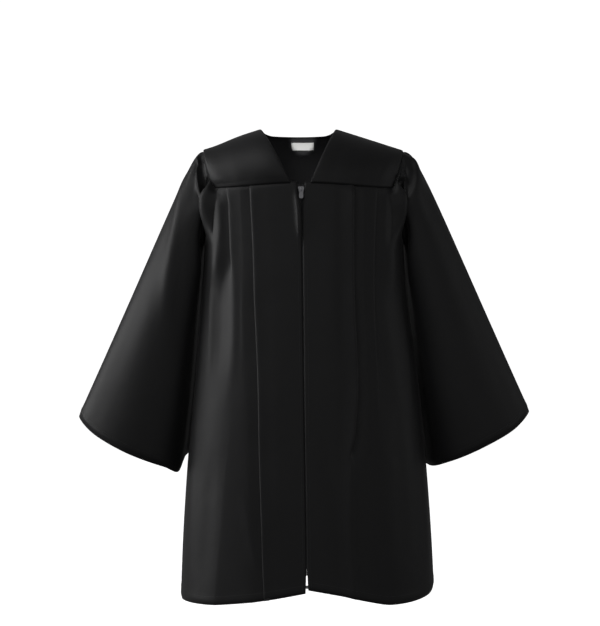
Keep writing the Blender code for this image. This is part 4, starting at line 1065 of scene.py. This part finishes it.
def stitches(name, lines, thread):
    """One mesh of spindles along every line; each spindle has three rings of six points and two tips."""
    middles, alongs, ups = [], [], []
    for line, normal in lines:
        walk = np.concatenate([[0], np.cumsum(np.linalg.norm(np.diff(line, axis=0), axis=-1))])
        at = np.arange(STITCH_PITCH, walk[-1] - STITCH_PITCH, STITCH_PITCH)
        pick = lambda values, where: np.stack([np.interp(where, walk, values[:, k]) for k in range(3)], axis=-1)
        middles.append(pick(line, at) + pick(normal, at) * (CLOTH_WALL / 2 + STITCH_RADIUS * 0.4))
        alongs.append(pick(line, at + 0.0005) - pick(line, at - 0.0005))
        ups.append(pick(normal, at))
    middle_of, along, up = (np.concatenate(parts) for parts in (middles, alongs, ups))
    along = along / np.linalg.norm(along, axis=-1, keepdims=True)
    side = np.cross(along, up)
    side = side / np.linalg.norm(side, axis=-1, keepdims=True)
    up = np.cross(side, along)
    rings = np.array([(-0.34, 0.75, -0.3), (0.0, 1.0, 0.0), (0.34, 0.75, -0.3)])
    angle = np.arange(6) * math.pi / 3
    spindle = [(-0.5, 0.0, -0.9)]
    for share, size, sink in rings:
        spindle += [(share, size * math.cos(a), sink + size * math.sin(a)) for a in angle]
    spindle = np.array(spindle + [(0.5, 0.0, -0.9)])
    spot = spindle[None, :, :, None]
    points = (middle_of[:, None] + along[:, None] * spot[:, :, 0] * STITCH_LENGTH
              + side[:, None] * spot[:, :, 1] * STITCH_RADIUS + up[:, None] * spot[:, :, 2] * STITCH_RADIUS)
    faces = []
    for k in range(6):
        a, b = 1 + k, 1 + (k + 1) % 6
        faces += [(0, b, a), (a, b, b + 6), (a, b + 6, a + 6), (a + 6, b + 6, b + 12), (a + 6, b + 12, a + 12),
                  (a + 12, b + 12, 19)]
    faces = np.array(faces)[None] + 20 * np.arange(len(middle_of))[:, None, None]
    mesh = bpy.data.meshes.new(name)
    mesh.from_pydata(points.reshape(-1, 3), [], faces.reshape(-1, 3).tolist())
    mesh.shade_smooth()
    piece = bpy.data.objects.new(name, mesh)
    bpy.context.scene.collection.objects.link(piece)
    dress(piece, None, "cloth", thread)
    print(name, len(middle_of), "stitches")


# %% [markdown]
# ## Looks
# A material is a formula over the cloth's own measure. Wire lets the formula be written with ordinary
# signs: adding two wires adds a Math node. Anything else is one call that names the node, its settings
# and its inputs.

# %% Wires and nodes
class Wire:
    """An output of a node; +, -, * and / on it add Math nodes."""

    def __init__(self, socket):
        self.socket, self.tree = socket, socket.id_data

    def math(self, kind, first, second):
        return add_node(self.tree, "ShaderNodeMath", {"operation": kind}, {0: first, 1: second})[0]

    def __add__(self, other):
        return self.math("ADD", self, other)

    def __sub__(self, other):
        return self.math("SUBTRACT", self, other)

    def __mul__(self, other):
        return self.math("MULTIPLY", self, other)

    def __truediv__(self, other):
        return self.math("DIVIDE", self, other)

    def __radd__(self, other):
        return self.math("ADD", other, self)

    def __rsub__(self, other):
        return self.math("SUBTRACT", other, self)

    def __rmul__(self, other):
        return self.math("MULTIPLY", other, self)

    def __rtruediv__(self, other):
        return self.math("DIVIDE", other, self)

    def sine(self):
        return add_node(self.tree, "ShaderNodeMath", {"operation": "SINE"}, {0: self})[0]


def add_node(tree, kind, settings, inputs):
    """Adds a node, sets it, links or fills its inputs, and returns its outputs as wires."""
    made = tree.nodes.new(kind)
    for name, value in settings.items():
        setattr(made, name, value)
    for name, value in inputs.items():
        if isinstance(value, Wire):
            tree.links.new(value.socket, made.inputs[name])
        else:
            made.inputs[name].default_value = value
    return [Wire(socket) for socket in made.outputs]


def new_material(name, **values):
    """A material with its Principled shader; every constant goes on the shader's own sockets."""
    made = bpy.data.materials.new(name)
    made.use_nodes = True
    tree = made.node_tree
    shader = tree.nodes["Principled BSDF"]
    for socket, value in values.items():
        shader.inputs[socket.replace("_", " ")].default_value = value
    return made, tree, shader


def feed(tree, shader, **wires):
    for socket, value in wires.items():
        tree.links.new(value.socket, shader.inputs[socket.replace("_", " ")])


def noise(tree, where, scale, detail=2.0):
    return add_node(tree, "ShaderNodeTexNoise", {}, {"Vector": where, "Scale": scale, "Detail": detail})[0]


def blend(tree, share, low, high):
    """A colour between two, by share."""
    return add_node(tree, "ShaderNodeMix", {"data_type": "RGBA"}, {0: share, 6: (*low, 1), 7: (*high, 1)})[2]


def bump(tree, height, distance, strength, normal=None):
    inputs = {"Height": height, "Distance": distance, "Strength": strength}
    if normal:
        inputs["Normal"] = normal
    return add_node(tree, "ShaderNodeBump", {}, inputs)[0]


# %% [markdown]
# Satin shows mostly warp: long threads lie side by side on its face, and the weft only dips under them.
# So the weave is a fine sine across, broken by a slower one down; it is much finer than a picture point
# from two metres, and shows in a close view. Larger, softer noise gives the slight unevenness of cloth
# that has been folded in a packet. Its reverse shows the weft, so it is duller and a little paler; it
# lines the open neck and the cuffs. It is also made several times paler than the face as painted light,
# to lift those inner sides out of their shade.

# %% Cloth, tape, label, metal, thread
def satin(name, dark, pale, rough, gloss):
    made, tree, shader = new_material(name, Sheen_Weight=0.06, Sheen_Roughness=0.45, Specular_IOR_Level=gloss)
    measure = add_node(tree, "ShaderNodeUVMap", {"uv_map": "cloth"}, {})[0]
    u, v, _ = add_node(tree, "ShaderNodeSeparateXYZ", {}, {0: measure})
    where = add_node(tree, "ShaderNodeTexCoord", {}, {})[3]
    threads = (u * (2 * math.pi / 0.00042)).sine() * ((v * (2 * math.pi / 0.0021) + u * 2990.0).sine() * 0.3 + 0.7)
    fine = bump(tree, threads, 0.00003, 0.30)
    soft = bump(tree, noise(tree, where, 70.0, 3.0), 0.0004, 0.55, fine)
    wide = bump(tree, noise(tree, where, 16.0, 2.0), 0.0016, 0.50, soft)
    patchy = noise(tree, where, 9.0, 3.0)
    feed(tree, shader, Normal=wide, Roughness=patchy * 0.12 + rough, Base_Color=blend(tree, patchy, dark, pale))
    return made


def tape_cloth():
    made, tree, shader = new_material("black_tape", Roughness=0.82, Sheen_Weight=0.15)
    measure = add_node(tree, "ShaderNodeUVMap", {"uv_map": "cloth"}, {})[0]
    u, v, _ = add_node(tree, "ShaderNodeSeparateXYZ", {}, {0: measure})
    ribs = ((u + v * 0.5) * (2 * math.pi / 0.0009)).sine() * (v * (2 * math.pi / 0.0007)).sine()
    feed(tree, shader, Normal=bump(tree, ribs, 0.00008, 0.6),
         Base_Color=blend(tree, ribs * 0.5 + 0.5, (0.010, 0.010, 0.011), (0.020, 0.020, 0.021)))
    return made


def label_ribbon():
    """White ribbon with fine ribs across; a thin dark line along its two long edges is painted shade, the shadow at
    its folded edges.
    """
    made, tree, shader = new_material("white_ribbon", Roughness=0.72, Sheen_Weight=0.2)
    measure = add_node(tree, "ShaderNodeUVMap", {"uv_map": "cloth"}, {})[0]
    u, v, _ = add_node(tree, "ShaderNodeSeparateXYZ", {}, {0: measure})
    ribs = (v * (2 * math.pi / 0.0006)).sine() * 0.6 + (u * (2 * math.pi / 0.0005)).sine() * 0.4
    # Painted shade: the dark line along each long edge stands for the shadow where the ribbon's edges fold under.
    middle_line = add_node(tree, "ShaderNodeMath", {"operation": "ABSOLUTE"}, {0: v - 0.0067})[0]
    edge = add_node(tree, "ShaderNodeMapRange", {}, {0: middle_line, 1: 0.0058, 2: 0.0062, 3: 0.0, 4: 1.0})[0]
    pale = blend(tree, ribs * 0.5 + 0.5, (0.80, 0.80, 0.78), (0.90, 0.90, 0.88))
    colour = add_node(tree, "ShaderNodeMix", {"data_type": "RGBA"}, {0: edge, 6: pale, 7: (0.03, 0.03, 0.03, 1)})[2]
    feed(tree, shader, Base_Color=colour, Normal=bump(tree, ribs, 0.00006, 0.5))
    return made


def gunmetal():
    made, tree, shader = new_material("gunmetal", Metallic=1.0)
    where = add_node(tree, "ShaderNodeTexCoord", {}, {})[3]
    worn = noise(tree, where, 900.0, 3.0)
    feed(tree, shader, Roughness=worn * 0.2 + 0.24, Normal=bump(tree, worn, 0.00003, 0.3),
         Base_Color=blend(tree, worn, (0.15, 0.15, 0.16), (0.24, 0.24, 0.25)))
    return made


def plain(name, colour, roughness):
    return new_material(name, Base_Color=(*colour, 1), Roughness=roughness)[0]


# %% [markdown]
# ## Putting it together
# The panels come first, then what is fitted to them, then the sewing, which needs the panels' points.

# %% Assembly
# The second cloth is the reverse: paler than the face, partly its own weft tone and partly painted light that lifts
# the inner neck and cuffs out of their shade.
cloth = (satin("satin_face", (0.0085, 0.0085, 0.0090), (0.0125, 0.0125, 0.0132), 0.44, 0.24),
         satin("satin_reverse_painted_light", (0.032, 0.032, 0.034), (0.042, 0.042, 0.045), 0.62, 0.44))
metal = gunmetal()
thread = plain("thread", (0.016, 0.016, 0.017), 0.55)
made = {f"front_{side}": make_front(side, cloth) for side in SIDES}
made.update({f"yoke_{name}": value for name, value in make_yokes(cloth).items()})
made["back"] = make_back(cloth)
made.update({f"sleeve_{side}": make_sleeve(side, cloth) for side in SIDES})
make_tapes(tape_cloth())
make_coil(plain("nylon_coil", (0.014, 0.014, 0.015), 0.35))
make_slider(metal)
make_box(metal)
make_label(label_ribbon())

sewn = [sewn_line(*made[name][1:], 0.0118, "hem") for name in ("front_left", "front_right", "back")]
for side in SIDES:
    line, normal = sewn_line(*made[f"sleeve_{side}"][1:], 0.0118, "hem")
    sewn.append((np.concatenate([line, line[:1]]), np.concatenate([normal, normal[:1]])))
    line, normal = sewn_line(*made[f"front_{side}"][1:], 0.0045, "first")
    sewn.append((line[12:], normal[12:]))
    sewn.append(sewn_line(*made[f"yoke_{side}"][1:], 0.0020, "first"))
stitches("sewing", sewn, thread)

# %% [markdown]
# ## The studio
# The gown hangs inside a round pale sweep that runs from floor to wall without a corner, so every side
# of it is seen against the same paper. The key light is large and comes from the left, as the bright
# left flanks of the folds show; a weak one from the right keeps the far sleeve from closing up, and one
# from above reaches into the neck.

# %% Stage
FLOOR_Z = -0.735
SWEEP_RADIUS, SWEEP_BEND, SWEEP_TOP = 5.0, 1.2, 5.0
bend = np.linspace(0, math.pi / 2, 24)
reach = np.concatenate([[0.01], SWEEP_RADIUS - SWEEP_BEND * (1 - np.sin(bend)), [SWEEP_RADIUS]])
rise = np.concatenate([[0.0], SWEEP_BEND * (1 - np.cos(bend)), [SWEEP_TOP]]) + FLOOR_Z
reach[0] = 1e-4  # the floor's middle, all but closed
round_about = np.linspace(0, 2 * math.pi, 96, endpoint=False)[:, None]
sweep_points = np.stack([reach * np.cos(round_about), reach * np.sin(round_about), rise + 0 * round_about], axis=-1)
sweep = grid_mesh("sweep", sweep_points, ring=True, wall=0, outwards=(0, 0, 1))
paper = new_material("pale_paper", Base_Color=(0.86, 0.86, 0.87, 1), Roughness=0.9, Emission_Color=(1, 1, 1, 1),
                     Emission_Strength=0.92)[0]
sweep.data.materials.append(paper)
sweep.visible_diffuse = sweep.visible_glossy = False


def area_light(name, place, aim, size, power):
    lamp = bpy.data.lights.new(name, "AREA")
    lamp.shape, lamp.size, lamp.size_y, lamp.energy = "RECTANGLE", size[0], size[1], power
    aim_light(name, lamp, place, aim)


def aim_light(name, lamp, place, aim):
    light = bpy.data.objects.new(name, lamp)
    direction = np.asarray(aim, float) - np.asarray(place, float)
    flat = math.hypot(direction[0], direction[1])
    light.location = place
    light.rotation_euler = (math.atan2(flat, -direction[2]), 0, math.atan2(-direction[0], direction[1]))
    bpy.context.scene.collection.objects.link(light)


area_light("key", (-2.6, -0.1, 0.40), (0.0, 0.0, -0.30), (1.6, 2.0), 47.0)
area_light("front", (0.9, -3.3, 0.10), (0.0, 0.0, -0.25), (5.0, 3.6), 12.0)
area_light("near", (0.3, -2.9, 0.55), (0.0, 0.0, -0.10), (1.2, 1.0), 1.6)
area_light("upper", (-1.4, -1.5, 1.9), (-0.10, 0.0, -0.05), (1.0, 1.0), 15.0)
area_light("fill", (2.7, -0.3, 0.1), (0.0, 0.0, -0.30), (1.4, 1.8), 5.0)
# A narrow lamp picks out the white label, which hangs in the neck's shade.
lamp = bpy.data.lights.new("label", "SPOT")
lamp.energy, lamp.spot_size, lamp.spot_blend, lamp.shadow_soft_size = 84.0, math.radians(1.30), 0.30, 0.004
aim_light("label", lamp, (-0.0015, -1.60, 0.06), (-0.0010, 0.050, -0.0110))

world = bpy.data.worlds.new("studio")
world.use_nodes = True
world.node_tree.nodes["Background"].inputs["Color"].default_value = (1.0, 1.0, 1.0, 1.0)
world.node_tree.nodes["Background"].inputs["Strength"].default_value = 0.10
bpy.context.scene.world = world
bpy.context.scene.view_settings.view_transform = "Standard"
print("stage set")
